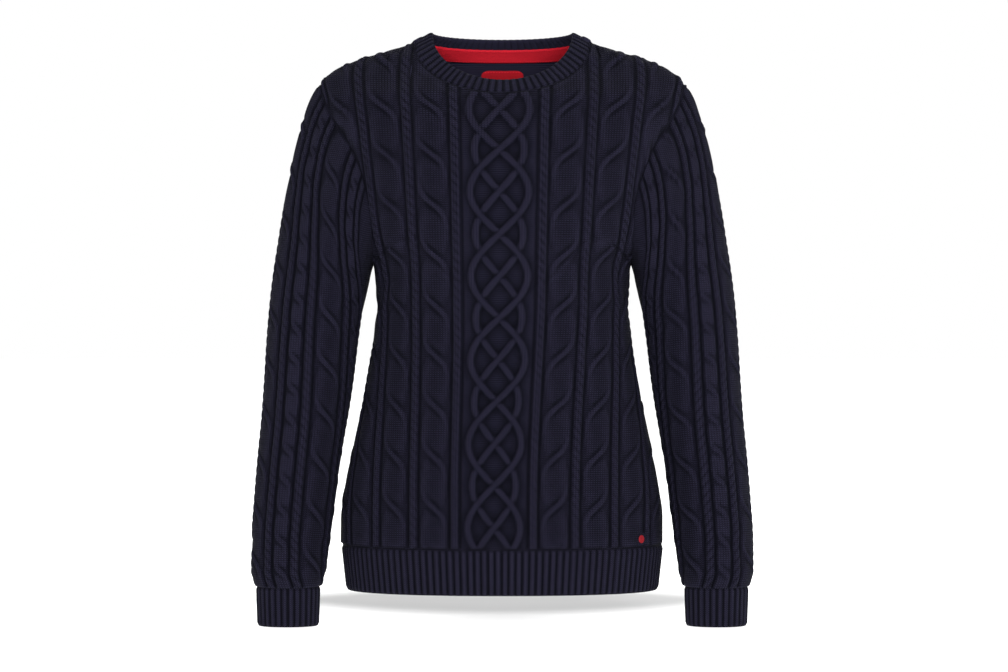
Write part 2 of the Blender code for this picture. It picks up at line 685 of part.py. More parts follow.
def make_panel(name, side, material):
    shell = Shell()
    points, out = panel_coarse(side)
    across, rows = np.linspace(-1, 1, ACROSS + 1), coarse_rows()
    is_rim = np.zeros(points.shape[:2], bool)
    is_rim[[0, -1]] = is_rim[:, [0, -1]] = True
    inner = shell.add(points - out * WALL)
    behind_label = (rows[:, None] > KEPT_INSIDE) & (np.abs(across) <= 0.5) & (side > 0)
    shell.rim.extend(inner[is_rim | behind_label].tolist())
    shell.grid(inner)
    rim = np.full(points.shape[:2], -1)
    rim[is_rim] = shell.add(points[is_rim], rim=True)

    guard_u = np.clip(across, -1 + GUARD_ACROSS, 1 - GUARD_ACROSS)
    guard_v = np.clip(rows, GUARD_UP, 1 - GUARD_UP)
    guard = np.full(points.shape[:2], -1)
    on_neck = (rows[:, None] == 1) & (np.abs(across) <= 0.5 + 1e-9)
    guarded = is_rim & ~on_neck
    guard[guarded] = shell.add(
        panel_point(side, *np.meshgrid(guard_u, guard_v))[guarded], rim=True
    )
    guard[on_neck] = rim[on_neck]
    for rim_edge, guard_edge in zip(border(rim), border(guard)):
        shell.grid(np.stack([rim_edge, guard_edge]))

    inset_u, inset_v = 1.7 * GUARD_ACROSS, 1.7 * GUARD_UP
    fine_u = np.linspace(-1 + inset_u, 1 - inset_u, FINE_ACROSS)
    fine_v = np.linspace(inset_v, 1 - inset_v, FINE_UP)
    u, v = np.meshgrid(fine_u, fine_v)
    raised = panel_point(side, u, v) + panel_normal(side, u, v) * panel_relief(side, u, v)[..., None]
    fine = shell.add(raised)
    beside_neck = np.abs(np.abs(fine_u) - 0.46) < 0.1
    shell.rim.extend(fine[-1, beside_neck].tolist())
    shell.grid(fine)
    shell.zip(guard[0], guard_u, fine[0], fine_u)
    shell.zip(guard[-1], guard_u, fine[-1], fine_u)
    shell.zip(guard[:, 0], guard_v, fine[:, 0], fine_v)
    shell.zip(guard[:, -1], guard_v, fine[:, -1], fine_v)
    for inner_edge, outer_edge in zip(border(inner), border(rim)):
        shell.grid(np.stack([inner_edge, outer_edge]))
    return shell.build(name, material, TRIANGLES[name])


def make_sleeve(name, mirror, material):
    """The sleeve of the +X side, or its mirror image with the cables still crossing the same way."""
    shell = Shell()
    count = 2 * ALONG_ARMHOLE
    turns = 2 * np.pi * np.arange(count) / count
    out, over = armhole_mitre(turns)
    rows = np.linspace(0, 1, SLEEVE_RINGS + 1)
    turn, v = np.meshgrid(turns, rows)
    points = sleeve_point(v, turn, over * SEAM_GAP)
    direction = sleeve_normal(v, turn)
    direction[0] = out
    direction[-1, :, 2] = 0
    direction = unit(direction)
    inner = shell.add((points - direction * WALL) * mirror)
    shell.rim.extend(inner[[0, -1]].ravel().tolist())
    shell.grid(inner, closed=True)

    inset = 1.7 * GUARD_ALONG
    fine_turns = 2 * np.pi * np.arange(FINE_ROUND) / FINE_ROUND
    fine_rows = np.linspace(inset, 1 - inset, FINE_ALONG)
    fine_turn, fine_v = np.meshgrid(fine_turns, fine_rows)
    _, fine_over = armhole_mitre(fine_turns)
    base = sleeve_point(fine_v, fine_turn, fine_over * SEAM_GAP)
    relief = sleeve_relief(fine_v, fine_turn, base, lean=mirror[0])
    fine = shell.add((base + sleeve_normal(fine_v, fine_turn) * relief[..., None]) * mirror)
    shell.grid(fine, closed=True)
    for row, guard_v in ((0, GUARD_ALONG), (-1, 1 - GUARD_ALONG)):
        rim = shell.add(points[row] * mirror, rim=True)
        guard = shell.add(sleeve_point(guard_v, turns, over * SEAM_GAP) * mirror, rim=True)
        shell.grid(np.stack([rim, guard]), closed=True)
        shell.zip(
            np.append(guard, guard[0]),
            np.append(turns, 2 * np.pi),
            np.append(fine[row], fine[row, 0]),
            np.append(fine_turns, 2 * np.pi),
        )
        shell.grid(np.stack([inner[row], rim]), closed=True)
    return shell.build(name, material, TRIANGLES[name])


def along_loop(loop, share):
    """Points on the straight runs of a closed loop of points, at shares of its corners from 0 to 1."""
    place = np.asarray(share) * len(loop)
    i = np.floor(place).astype(int) % len(loop)
    t = (place - np.floor(place))[:, None]
    return loop[i] * (1 - t) + np.roll(loop, -1, axis=0)[i] * t


def make_ribbed_band(name, first, second, first_out, second_out, rib, material):
    """A band of ribs between two loops of points, with a plain inside."""
    pitch, height = rib
    shell = Shell()
    sides = np.linalg.norm(np.roll(first, -1, axis=0) - first, axis=1)
    ribs = round(sides.sum() / pitch)
    corners = np.arange(len(first) + 1) / len(first)
    lengths = np.concatenate([[0], np.cumsum(sides)]) / sides.sum()
    even = np.arange(2 * ribs) / (2 * ribs)
    share = np.interp(even, lengths, corners)
    rise = height * (np.arange(2 * ribs) % 2)[:, None]
    raised, inner = [], []
    for loop, out in ((first, first_out), (second, second_out)):
        raised.append(shell.add(along_loop(loop, share) + unit(along_loop(out, share)) * rise))
        inner.append(shell.add(loop - out * WALL))
        shell.zip(
            np.append(raised[-1], raised[-1][0]),
            np.append(share, 1),
            np.append(inner[-1], inner[-1][0]),
            corners,
        )
    shell.grid(np.stack(raised), closed=True)
    shell.grid(np.stack(inner), closed=True)
    return shell.build(name, material)


def make_hem_rib(material):
    """The ribbed band below the front and back, which share its upper loop of points."""
    front, front_out = panel_coarse(-1)
    back, back_out = panel_coarse(1)
    upper = np.concatenate([front[0], back[0, -2:0:-1]]) - (0, 0, SEAM_GAP)
    out = np.concatenate([front_out[0], back_out[0, -2:0:-1]])
    wide = torso("half", np.array([HEM_EDGE_Z, HEM_SEAM_Z]))
    deep = [torso(c, np.array([HEM_EDGE_Z, HEM_SEAM_Z])) for c in ("front", "back")]
    scale_y = np.where(upper[:, 1] < 0, deep[0][0] / deep[0][1], deep[1][0] / deep[1][1])
    lower = upper * np.stack([np.full(len(upper), wide[0] / wide[1]), scale_y, 0 * scale_y], axis=1)
    lower[:, 2] = HEM_EDGE_Z
    return make_ribbed_band("hem_rib", upper, lower, out, out, HEM_RIB, material)


def make_neckband(material):
    """The ribbed band round the neck, on the coarse points of the neckline."""
    across = np.linspace(-1, 1, ACROSS + 1)
    neck = across[np.abs(across) <= 0.5 + 1e-9]
    seam, top, out, top_out = [], [], [], []
    for side, places in ((-1, neck), (1, neck[-2:0:-1])):
        direction, over = neck_mitre(side, places)
        seam.append(panel_point(side, places, 1.0) + over * SEAM_GAP)
        top.append(band_top(places, side))
        out.append(direction)
    seam, top, out = [np.concatenate(rows) for rows in (seam, top, out)]
    around = np.roll(top, -1, axis=0) - np.roll(top, 1, axis=0)
    top_out = unit(np.cross(around, top - seam))
    return make_ribbed_band("neckband", seam, top, out, top_out, NECK_RIB, material)


def make_cuff(name, mirror, material):
    """The ribbed cuff, on the coarse points of the sleeve's last ring."""
    count = 2 * ALONG_ARMHOLE
    turns = 2 * np.pi * np.arange(count) / count
    ends = np.ones(count)
    upper = sleeve_point(ends, turns) - (0, 0, SEAM_GAP)
    out = sleeve_normal(ends, turns) * (1, 1, 0)
    middle = upper.mean(axis=0)
    lower = np.stack(
        [
            middle[0] + CUFF_HALF_WIDTH * np.cos(turns),
            middle[1] - CUFF_HALF_DEPTH * np.sin(turns),
            np.full(count, CUFF_EDGE_Z),
        ],
        axis=1,
    )
    loops = [upper * mirror, lower * mirror]
    outs = [unit(out) * mirror] * 2
    return make_ribbed_band(name, *loops, *outs, CUFF_RIB, material)


def border(numbers):
    """The four edge rows of a grid of point numbers."""
    return numbers[0], numbers[-1], numbers[:, 0], numbers[:, -1]


def slab(name, lower, upper, material):
    """A thin closed piece between two grids of points."""
    shell = Shell()
    under, over = shell.add(lower), shell.add(upper)
    shell.grid(under)
    shell.grid(over)
    for a, b in zip(border(under), border(over)):
        shell.grid(np.stack([a, b]))
    return shell.build(name, material)


def read_between(grid, across, rows, u, v):
    """A grid's points read between its own, at the columns u and the rows v."""
    i = np.clip(np.searchsorted(across, u) - 1, 0, len(across) - 2)
    j = np.clip(np.searchsorted(rows, v) - 1, 0, len(rows) - 2)
    s = ((u - across[i]) / (across[i + 1] - across[i]))[None, :, None]
    t = ((v - rows[j]) / (rows[j + 1] - rows[j]))[:, None, None]
    low = grid[j][:, i] * (1 - s) + grid[j][:, i + 1] * s
    high = grid[j + 1][:, i] * (1 - s) + grid[j + 1][:, i + 1] * s
    return low * (1 - t) + high * t


def back_inside():
    """The inner side of the back and, in one more row, of the neckband above it."""
    across, rows = np.linspace(-1, 1, ACROSS + 1), coarse_rows()
    points, out = panel_coarse(1)
    at_neck = np.clip(across, -0.5, 0.5)
    _, over = neck_mitre(1, at_neck)
    seam = points[-1] + over * SEAM_GAP
    top = band_top(at_neck, 1)
    around = np.roll(top, -1, axis=0) - np.roll(top, 1, axis=0)
    top_out = unit(np.cross(around, seam - top))
    points = np.concatenate([points, top[None]])
    out = np.concatenate([out, top_out[None]])
    return points - out * WALL, out, across, np.append(rows, 2.0)


def make_inside_strip(name, size, material):
    """A flat piece sewn inside the back. Its rows from 1 to 2 lie on the neckband."""
    inner, out, across, rows = back_inside()
    columns = across[np.abs(across) < size["half"]]
    u = np.concatenate([[-size["half"]], columns, [size["half"]]])
    between = rows[(rows > size["bottom"]) & (rows < size["top"])]
    v = np.concatenate([[size["bottom"]], between, [size["top"]]])
    surface = read_between(inner, across, rows, u, v)
    direction = unit(read_between(out, across, rows, u, v))
    near = surface - direction * size["clear"]
    far = surface - direction * (size["clear"] + size["thick"])
    return slab(name, near, far, material)


def make_patch(material):
    """A small round patch on the front, just above the hem rib."""
    y = -(ring_y(np.array(PATCH_X), np.array(PATCH_Z), -1) + SEAM_GAP / 2)
    step = 1.0
    slope_x = (ring_y(np.array(PATCH_X + step), np.array(PATCH_Z), -1) + y + SEAM_GAP / 2) / step
    out = unit(np.array([-slope_x, -1.0, 0.0]))
    side = unit(np.array([1.0, -slope_x, 0.0]))
    middle = np.array([PATCH_X, float(y), PATCH_Z]) + out * (PATCH_BED + PATCH_CLEAR)
    turns = 2 * np.pi * np.arange(PATCH_SIDES) / PATCH_SIDES
    disc = PATCH_RADIUS * (
        np.cos(turns)[:, None] * side + np.sin(turns)[:, None] * np.array([0.0, 0.0, 1.0])
    )
    shell = Shell()
    under = shell.add(middle + disc)
    over = shell.add(middle + disc * 0.9 + out * PATCH_THICK)
    shell.grid(np.stack([under, over]), closed=True)
    shell.faces.append(under.tolist())
    shell.faces.append(over.tolist())
    return shell.build("hem_patch", material)


def main():
    for obj in list(bpy.data.objects):
        bpy.data.objects.remove(obj)
    knit = knit_material("navy_cable_knit", NAVY, 0.9)
    ribbing = knit_material("navy_rib_knit", NAVY, 0.9)
    twill = knit_material("red_twill_tape", RED, 0.8)
    woven = knit_material("red_woven_label", LABEL_RED, 0.7)
    stitched = knit_material("red_embroidery", RED, 0.6)
    make_panel("front_panel", -1, knit)
    make_panel("back_panel", 1, knit)
    make_sleeve("sleeve_right", np.array([1.0, 1.0, 1.0]), knit)
    make_sleeve("sleeve_left", np.array([-1.0, 1.0, 1.0]), knit)
    make_hem_rib(ribbing)
    make_neckband(ribbing)
    make_cuff("cuff_right", np.array([1.0, 1.0, 1.0]), ribbing)
    make_cuff("cuff_left", np.array([-1.0, 1.0, 1.0]), ribbing)
    make_inside_strip("neck_tape", TAPE, twill)
    make_inside_strip("neck_label", LABEL, woven)
    make_patch(stitched)


main()
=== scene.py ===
"""Looks of a navy cable knit sweater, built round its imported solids.

The front faces -Y and +Z is up. The sizes and tables are in millimetres, and MM turns them into
metres when a mesh is made. Each knitted piece is a wall. Its outside carries the cables, ropes,
ribs and folds, its inside is plain but for the bands' ribs, and the loops of the yarn are in its
material.
"""

import bmesh
import bpy
import numpy as np
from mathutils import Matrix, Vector


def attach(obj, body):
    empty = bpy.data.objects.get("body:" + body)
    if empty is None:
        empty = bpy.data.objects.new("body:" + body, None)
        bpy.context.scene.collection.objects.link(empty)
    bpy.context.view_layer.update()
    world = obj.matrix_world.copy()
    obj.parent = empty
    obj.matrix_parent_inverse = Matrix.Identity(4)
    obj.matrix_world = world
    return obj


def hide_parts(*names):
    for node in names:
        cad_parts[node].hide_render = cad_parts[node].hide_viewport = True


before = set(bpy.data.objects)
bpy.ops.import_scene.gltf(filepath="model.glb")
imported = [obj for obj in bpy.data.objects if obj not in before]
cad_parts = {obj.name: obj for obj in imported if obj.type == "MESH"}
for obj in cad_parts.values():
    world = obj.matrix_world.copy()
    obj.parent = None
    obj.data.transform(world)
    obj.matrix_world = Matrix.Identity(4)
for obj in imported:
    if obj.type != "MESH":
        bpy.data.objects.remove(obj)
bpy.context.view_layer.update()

MM = 0.001

# Walls and seams
WALL = 2.4
SEAM_GAP = 0.005
SEAM_FADE = 2.4
UNDERARM_PLAIN = (5.0, 26.0)

# Heights of the body's seams and edges
HEM_EDGE_Z = -602.0
HEM_SEAM_Z = -552.0
UNDERARM_Z = -232.0
SHOULDER_Z = -28.0
NECK_SIDE_Z = 20.5
NECK_FRONT_Z = -43.0
NECK_BACK_Z = 13.0
NECK_HALF = 99.5
SHOULDER_HALF = 206.8

# Neckband: its upper edge, with the middle's y and z in front and behind, and how the neckline
# rises towards the sides
BAND_TOP_HALF = 79.5
BAND_TOP_SIDE_Z = 31.0
BAND_TOP_FRONT = (-77.0, -28.5)
BAND_TOP_BACK = (64.0, 29.0)
NECK_RISE_POWER = 1.05
NECK_SPREAD = 1.5

# Cuffs
CUFF_EDGE_Z = -641.0
CUFF_HALF_WIDTH = 33.5
CUFF_HALF_DEPTH = 29.0

# Knitting: cables of the body, measured across the cloth before it is stretched
LATTICE_BIG = 29.6
LATTICE_SMALL = 24.6
LATTICE_PITCH = 92.85
LATTICE_START = -109.0
LATTICE_STRAND = 4.0
LATTICE_RISE = 3.0
LATTICE_DIP = 0.62
LATTICE_HALF = 36.0
COLUMN_FIRST = 44.5
COLUMN_STEP = 48.5
COLUMNS = 4
CABLE_HALF = 17.0
CABLE_PITCH = 56.0
CABLE_START = -57.0
CABLE_RISE = 1.7
RIDGE_RISE = 1.4
RIDGE_HALF = 3.3
ROPE_HALF = 4.7
ROPE_RISE = 2.4

# Knitting of the sleeves: columns counted from the outer arm's middle line
SLEEVE_CABLE_PITCH = 55.0
SLEEVE_CABLE_START = 29.0
CHAIN_HALF = 9.0
CHAIN_PITCH = 34.0
CHAIN_START = 18.0
SLEEVE_ROPES = (23.5, 55.0, 102.0, 133.0)
SLEEVE_CHAINS = (39.5, 118.0)
SLEEVE_WIDE = 78.5

# Ribs: (pitch, height)
HEM_RIB = (7.4, 1.7)
NECK_RIB = (9.0, 1.5)
CUFF_RIB = (6.8, 1.5)

# Finer knitting than the solids carry: the ropes' twist, the ditches of purl beside them, how
# the wide cables' halves cross, and the yarn's loft over the seams' level, which the shoulders
# lose between the heights given
ROPE_TWIST, ROPE_GROOVE, PLY_ROUND = 10.5, 0.55, 0.7
DITCH_PLACE, DITCH_DEPTH, DITCH_HALF = 6.2, 1.1, 1.5
CROSSING_REACH, CROSSING_STEEP, CROSSING_PINCH, CROSSING_NEAR = 0.93, 0.80, 0.30, 0.75
CROSSING_DIP, CROSSING_DIP_PLACE, CROSSING_DIP_HALF = 1.0, 4.6, 2.2
RIDGE_TAIL, RIDGE_NEAR = 0.15, 0.9
LOBE_ROUND, PILLOW_FLAT, PILLOW_EDGE = 0.45, 4, 0.6
STRAND_SINK_HALF = 6.0
RAISED = (0.3, 1.0)
FRONT_DRIFT, LOW_DRIFT, DRIFT_FROM_TO = -3.3, -6.0, (-260.0, -500.0)
FOLD_ENDS = (0.35, 1.0)
LOFT, SHOULDER_LOFT, LOFT_FROM_TO = 1.0, -0.8, (-150.0, -30.0)
EVEN_PASSES = 500
# The painted shade of the relief: the cells averaged round each point, and the range it is held to
PAINTED_SHADE_CELLS, PAINTED_SHADE_RANGE = 3, (-1.5, 0.7)

# Meshes: points along the seams, cells of the knitted grids, where they lie closer and how far
# in they start, the ribs' points across and up, their share inside, and the bands' rolled ends
ACROSS = 84
BELOW_ARMHOLE = 20
ALONG_ARMHOLE = 32
ARMHOLE_START = 0.56
SLEEVE_RINGS = 60
FINE_ACROSS, FINE_UP = 282, 322
FINE_ROUND, FINE_ALONG = 190, 336
CLOSE, CLOSER_ON_ROPES, CLOSER_ON_LATTICE = 0.8, 1.7, 1.15
CLOSER_HALF, CLOSER_FADE, LATTICE_FADE, WIDEST_STEP = 8.0, 2.0, 3.0, 3
INSET_ACROSS, INSET_UP, INSET_ALONG = 0.006, 0.003, 0.0035
RIB_COLUMNS, RIB_ROWS, RIB_HALF = 8, 14, 0.40
RIB_INSIDE, BAND_ROLL, BAND_ROUND = 0.5, 0.5, (-1.5, 3.0)

# The panels' grid: where its rows bend to the shoulder and the armhole, the points on measured
# curves, the places beside a seam where directions are read, and how late the neck's seam turns
# square to the shoulder's
NECK_CORNER, EDGE_POWER = (0.42, 0.5), 8
SHOULDER_STEPS, GIRTH_STEPS = 120, 41
NEAR_SEAM, NECK_INSIDE, TOP_INSIDE, NECK_SQUARE = 0.02, 0.497, 0.998, 4

# The yarn: width of a column of stitches, height of a row, the places' unit on the UV map, and
# the marks of the plain inside and of the ribs, which the yarn's material reads as painted light
# and shade: the plain inside painted lighter all over, the ribs' valleys painted darker
WALE, COURSE = 2.9, 2.4
UV_UNIT = 100.0
INSIDE_CABLE, INSIDE_PAINTED_LIGHT = 0.0, 1.8
RIB_CABLE, RIB_PAINTED_SHADE, RIB_MIDDLE = 0.5, 1.8, 0.6


def table(columns, *rows):
    """Columns of numbers, read by their names."""
    return dict(zip(columns.split(), np.array(rows, float).T))


# Rings of the torso: height, half width, the panels' edge (inside the half width along the
# armhole), front and back depth, roundness (2 is an ellipse), stretch of the knitting, and
# the degrees round the ring over which the mesh spreads its columns.
TORSO = table(
    "z half edge front back power stretch swing",
    (-602, 176.0, 176.0, 112, 110, 2.30, 0.97, 90),
    (-575, 180.0, 180.0, 115, 113, 2.30, 0.97, 90),
    (-552, 181.5, 181.5, 117, 114, 2.30, 0.97, 90),
    (-520, 181.5, 181.5, 116, 112, 2.30, 0.97, 90),
    (-480, 175.5, 175.5, 113, 109, 2.30, 0.975, 90),
    (-440, 167.0, 167.0, 109, 103, 2.28, 0.98, 90),
    (-400, 158.5, 158.5, 105, 98, 2.26, 0.99, 90),
    (-360, 151.0, 151.0, 102, 94, 2.24, 1.005, 90),
    (-320, 144.5, 144.5, 102, 92, 2.22, 1.02, 88),
    (-285, 141.5, 141.5, 105, 93, 2.20, 1.04, 83),
    (-262, 141.5, 141.5, 109, 95, 2.18, 1.045, 78),
    (-245, 143.5, 143.5, 112, 97, 2.17, 1.05, 74),
    (-232, 146.5, 146.5, 114, 98, 2.16, 1.055, 70.5),
    (-225, 151.0, 146.0, 115.5, 99, 2.15, 1.055, 68.5),
    (-215, 157.5, 145.5, 117.5, 100, 2.15, 1.06, 65.5),
    (-200, 166.0, 145.5, 120, 101, 2.14, 1.065, 60.3),
    (-177, 174.0, 146.5, 121, 103, 2.12, 1.075, 56.4),
    (-142, 184.0, 154.0, 119, 106, 2.10, 1.09, 55.8),
    (-114, 193.0, 164.0, 113.5, 107, 2.08, 1.105, 57),
    (-100, 196.5, 171.0, 110, 107.5, 2.06, 1.115, 60.2),
    (-88, 199.5, 179.5, 106.5, 107.5, 2.05, 1.12, 64),
    (-67, 204.0, 193.0, 99, 105, 2.03, 1.135, 71),
    (-45, 206.4, 202.6, 89.5, 101, 2.01, 1.15, 79),
    (-28, 206.8, 206.8, 68, 96, 2.00, 1.15, 86),
    (-22, 203.5, 203.5, 60, 94, 2.00, 1.15, 90),
    (-16, 196.0, 196.0, 53, 91.5, 2.00, 1.15, 90),
    (-10, 186.5, 186.5, 47.5, 89, 2.00, 1.15, 90),
    (-4, 174.0, 174.0, 43.5, 87, 2.00, 1.15, 90),
    (2, 158.5, 158.5, 39.5, 85, 2.00, 1.15, 90),
    (8, 136.0, 136.0, 34, 82, 2.00, 1.15, 90),
    (13, 119.0, 119.0, 27.5, 78, 2.00, 1.15, 90),
    (17, 107.0, 107.0, 20, 62, 2.00, 1.15, 90),
    (20.5, 99.5, 99.5, 13, 18, 2.00, 1.15, 90),
)

# Rings of the sleeve, from the armhole to the cuff: the outer and the inner point, half the
# depth, the middle's y, the knitting's stretch, and the angle of its middle line towards
# the front.
SLEEVE = table(
    "out_x out_z in_x in_z depth y stretch turn",
    (206.8, -28, 146.5, -232, 62.0, -2, 1.08, 4),
    (216.5, -46, 148.0, -236, 62.0, -3, 1.08, 6),
    (225.0, -69, 149.2, -240, 61.5, -3, 1.07, 9),
    (231.0, -92, 150.4, -245, 61.0, -4, 1.07, 12),
    (236.5, -115, 151.6, -250, 60.0, -4, 1.06, 16),
    (241.0, -138, 153.0, -256, 58.5, -5, 1.06, 20),
    (245.5, -161, 154.8, -264, 57.0, -5, 1.05, 23),
    (248.8, -184, 156.8, -273, 56.0, -6, 1.05, 25),
    (252.0, -207, 159.5, -284, 55.0, -7, 1.05, 26),
    (257.0, -241, 163.5, -303, 54.0, -9, 1.04, 27),
    (261.0, -275, 167.0, -325, 53.0, -11, 1.03, 27),
    (264.6, -320, 170.8, -356, 51.5, -14, 1.02, 27),
    (267.2, -365, 175.5, -390, 50.0, -17, 1.01, 27),
    (270.2, -410, 181.5, -428, 48.0, -21, 1.00, 27),
    (274.0, -450, 186.8, -462, 46.5, -24, 0.99, 27),
    (278.0, -500, 192.2, -506, 45.0, -28, 0.98, 27),
    (280.8, -545, 197.6, -547, 43.0, -31, 0.97, 27),
    (281.0, -578, 201.8, -578, 41.0, -33, 0.96, 27),
    (276.6, -597, 206.6, -597, 36.0, -35, 0.95, 27),
)
# How far down the arm its rings are drawn to the armhole
SLEEVE_BLEND = 0.38

# Folds of wear, in each piece's knitting: the middle's place, degrees from upright, length,
# half width and depth, where troughs are below 0
FOLD = "across up lean length width depth"
FOLDS = {
    "front_panel": table(
        FOLD,
        (-150, -262, 52, 120, 10, -1.8),
        (-142, -284, 58, 110, 8, 1.0),
        (156, -258, -50, 130, 11, -2.0),
        (150, -286, -57, 90, 8, 1.1),
        (-128, -196, 24, 90, 9, -1.2),
        (136, -190, -22, 100, 9, -1.3),
        (-168, -470, 8, 150, 16, 2.2),
        (176, -455, -6, 170, 15, 2.4),
        (60, -530, 4, 90, 14, -1.0),
        (-70, -524, -5, 80, 12, -0.9),
        (12, -300, 70, 120, 14, -0.8),
        (-95, -60, 62, 80, 9, -0.8),
        (104, -58, -60, 76, 9, -0.9),
    ),
    "back_panel": table(
        FOLD,
        (-148, -255, 48, 130, 11, -2.0),
        (150, -262, -52, 120, 10, -1.7),
        (-30, -330, 84, 170, 13, -2.2),
        (44, -372, 80, 150, 12, -1.7),
        (-20, -352, 82, 150, 10, 1.2),
        (-120, -200, 18, 110, 10, -1.3),
        (126, -182, -20, 96, 9, -1.1),
        (0, -70, 88, 150, 12, -1.0),
        (-160, -480, 6, 150, 15, 2.0),
        (166, -470, -7, 140, 15, 2.1),
    ),
    "sleeve_right": table(
        FOLD,
        (-96, 330, 70, 110, 8, -2.0),
        (-92, 306, 74, 100, 7, 1.2),
        (-88, 276, 66, 120, 8, -2.1),
        (-84, 246, 72, 90, 7, -1.3),
        (66, 300, -72, 90, 8, -1.4),
        (34, 48, 78, 110, 9, -1.5),
        (-70, 40, -80, 90, 8, -1.3),
        (-20, 520, 35, 90, 9, -1.2),
        (-110, 120, 74, 80, 8, -1.3),
    ),
    "sleeve_left": table(
        FOLD,
        (-92, 318, 68, 120, 8, -2.1),
        (-90, 292, 73, 100, 7, 1.1),
        (-86, 262, 64, 110, 8, -1.9),
        (-94, 226, 76, 90, 7, -1.2),
        (58, 286, -70, 100, 8, -1.5),
        (-40, 44, 80, 120, 9, -1.4),
        (74, 52, -76, 90, 8, -1.5),
        (24, 508, -38, 100, 9, -1.3),
        (-104, 140, 72, 90, 8, -1.4),
    ),
}

# Strips inside the back: half width and heights as shares of the panel's grid, and upper
# corners' width and drop
TAPE = {"half": 0.30, "top": 1.40, "bottom": 0.985, "thick": 0.8, "clear": 0.4}
LABEL = {"half": 0.0555, "top": 0.969, "bottom": 0.9265, "thick": 0.8, "clear": 0.4}
TAPE_CORNER, LABEL_CORNER = (0.01, 0.0), (0.38, 0.25)

# The small round patch on the front, on a plain bed
PATCH_X, PATCH_Z, PATCH_RADIUS, PATCH_THICK = 154.0, -541.5, 4.5, 0.8
PATCH_BED, PATCH_BED_EDGE, PATCH_CLEAR = 1.5, (1.5, 5.0), 0.5

# Meshes of the strips and the patch, how high the back and the neckband rise, the patch's rings
# (reach and lift), and the stitches with their seams' places on the strips
STRIP_COLUMNS, STRIP_ROWS = 97, 11
STRIP_EDGE, STRIP_EDGE_WIDTH = 0.55, 0.03
BACK_RISE, BAND_RISE = NECK_BACK_Z - HEM_SEAM_Z, 17.0
PATCH_TURNS = 48
PATCH_THREAD, PATCH_THREAD_RISE = 0.9, 0.12
PATCH_PROFILE = ((0.30, 0.0), (1.0, 0.0), (1.0, 0.35), (0.88, 0.85), (0.60, 1.0), (0.30, 1.0))
STITCH_SPACING, STITCH_LENGTH, THREAD_RADIUS, STITCH_LIFT = 3.0, 2.0, 0.28, 0.15
BAR_SEGMENTS, BAR_RINGS, SEAM_POINTS = 8, 5, 120
TAPE_SEAMS, TAPE_SEAM_INSET = (0.10, 0.90), 0.003
LABEL_SEAM, LABEL_SEAM_INSET = 0.93, 0.012

# Colours, each from its shade to its light, and the fuzz that catches light at the edges
NAVY_DARK, NAVY_LIGHT = (0.0012, 0.0012, 0.0034), (0.0150, 0.0138, 0.0285)
RED_DARK, RED_LIGHT = (0.30, 0.007, 0.013), (0.70, 0.018, 0.036)
LABEL_DARK, LABEL_LIGHT = (0.20, 0.004, 0.008), (0.40, 0.010, 0.018)
SATIN_DARK, SATIN_LIGHT = (0.10, 0.004, 0.006), (0.24, 0.014, 0.020)
SHEEN, SHEEN_TINT = 0.012, (0.55, 0.58, 0.80)
SPECULAR, SHEEN_ROUGHNESS = 0.05, 0.45

# The yarn's finish: its stitches' slant and sway, the noises' scale, how far the painted shade of
# its relief, its loops, heather and fuzz lighten it, and the bump that they make
YARN_ROUGHNESS, VEE_SLANT, PURL_SWAY = 0.85, 0.5, 0.35
FUZZ_SCALE, HEATHER_SCALE = 1100.0, 260.0
PAINTED_SHADE_TONE, LOOP_TONE, HEATHER_TONE, FUZZ_TONE, BASE_TONE = 0.52, 0.90, 0.40, 0.30, -0.52
LOOP_BUMP, FUZZ_BUMP, YARN_BUMP = 0.8, 0.5, (0.7, 0.0020)

# The same for woven cloth and laid thread, with the pitch of their lines and their sheen
TWILL_PITCH, LABEL_PITCH, SATIN_PITCH = 1.5, 0.9, 0.8
TWILL_SHEEN, FINE_SHEEN, THREAD_ROUGHNESS = 0.2, 0.1, 0.6
CLOTH_ROUGHNESS, WEFT_SLANT, CLOTH_FUZZ_SCALE = 0.7, 3, 900.0
TWILL_TONE, CLOTH_FUZZ_TONE = 0.45, 0.6
TWILL_BUMP, WEFT_BUMP, CLOTH_BUMP = 0.7, 0.3, (0.5, 0.0004)

# The studio, in metres: lights are (name, place, aim, size, watts). The floor glows, and its glow
# is left out in a patch behind the sweater, placed where a painted shadow should lie; the world
# is white up to a small rise. The camera's lens and sensor are in millimetres.
FLOOR_Z, FLOOR_HALF, FLOOR_COLOUR, FLOOR_ROUGHNESS = -0.6435, 40.0, 0.82, 0.9
SHADOW_Y, SHADOW_SPREAD, GLOW_FROM, GLOW_TO = 0.34, 2.4, 0.12, 0.34
WORLD_LIGHT, BACKDROP_RISE = 0.27, (0.11, 0.16)
LIGHTS = (
    ("Key", (0.5, -3.0, 1.3), (0.0, 0.0, -0.30), (2.2, 1.4), 100.0),
    ("Front", (0.0, -3.5, -0.1), (0.0, 0.0, -0.25), (1.4, 1.0), 45.0),
    ("Side left", (-2.8, -1.4, 0.2), (0.0, 0.0, -0.30), (1.2, 2.0), 18.0),
    ("Side right", (2.8, -1.4, 0.2), (0.0, 0.0, -0.30), (1.2, 2.0), 32.0),
    ("Top", (0.0, 0.6, 2.6), (0.0, 0.0, -0.30), (2.6, 2.0), 24.0),
    ("Back", (0.0, 2.8, 1.8), (0.0, 0.0, -0.30), (2.4, 1.6), 40.0),
)
CAMERA, LENS, SENSOR = (0.00194, -3.6, -0.31464), 112.8, 36.0


def unit(vectors):
    return vectors / np.maximum(np.linalg.norm(vectors, axis=-1, keepdims=True), 1e-12)


def smoothstep(low, high, value):
    t = np.clip((value - low) / (high - low), 0, 1)
    return t * t * (3 - 2 * t)


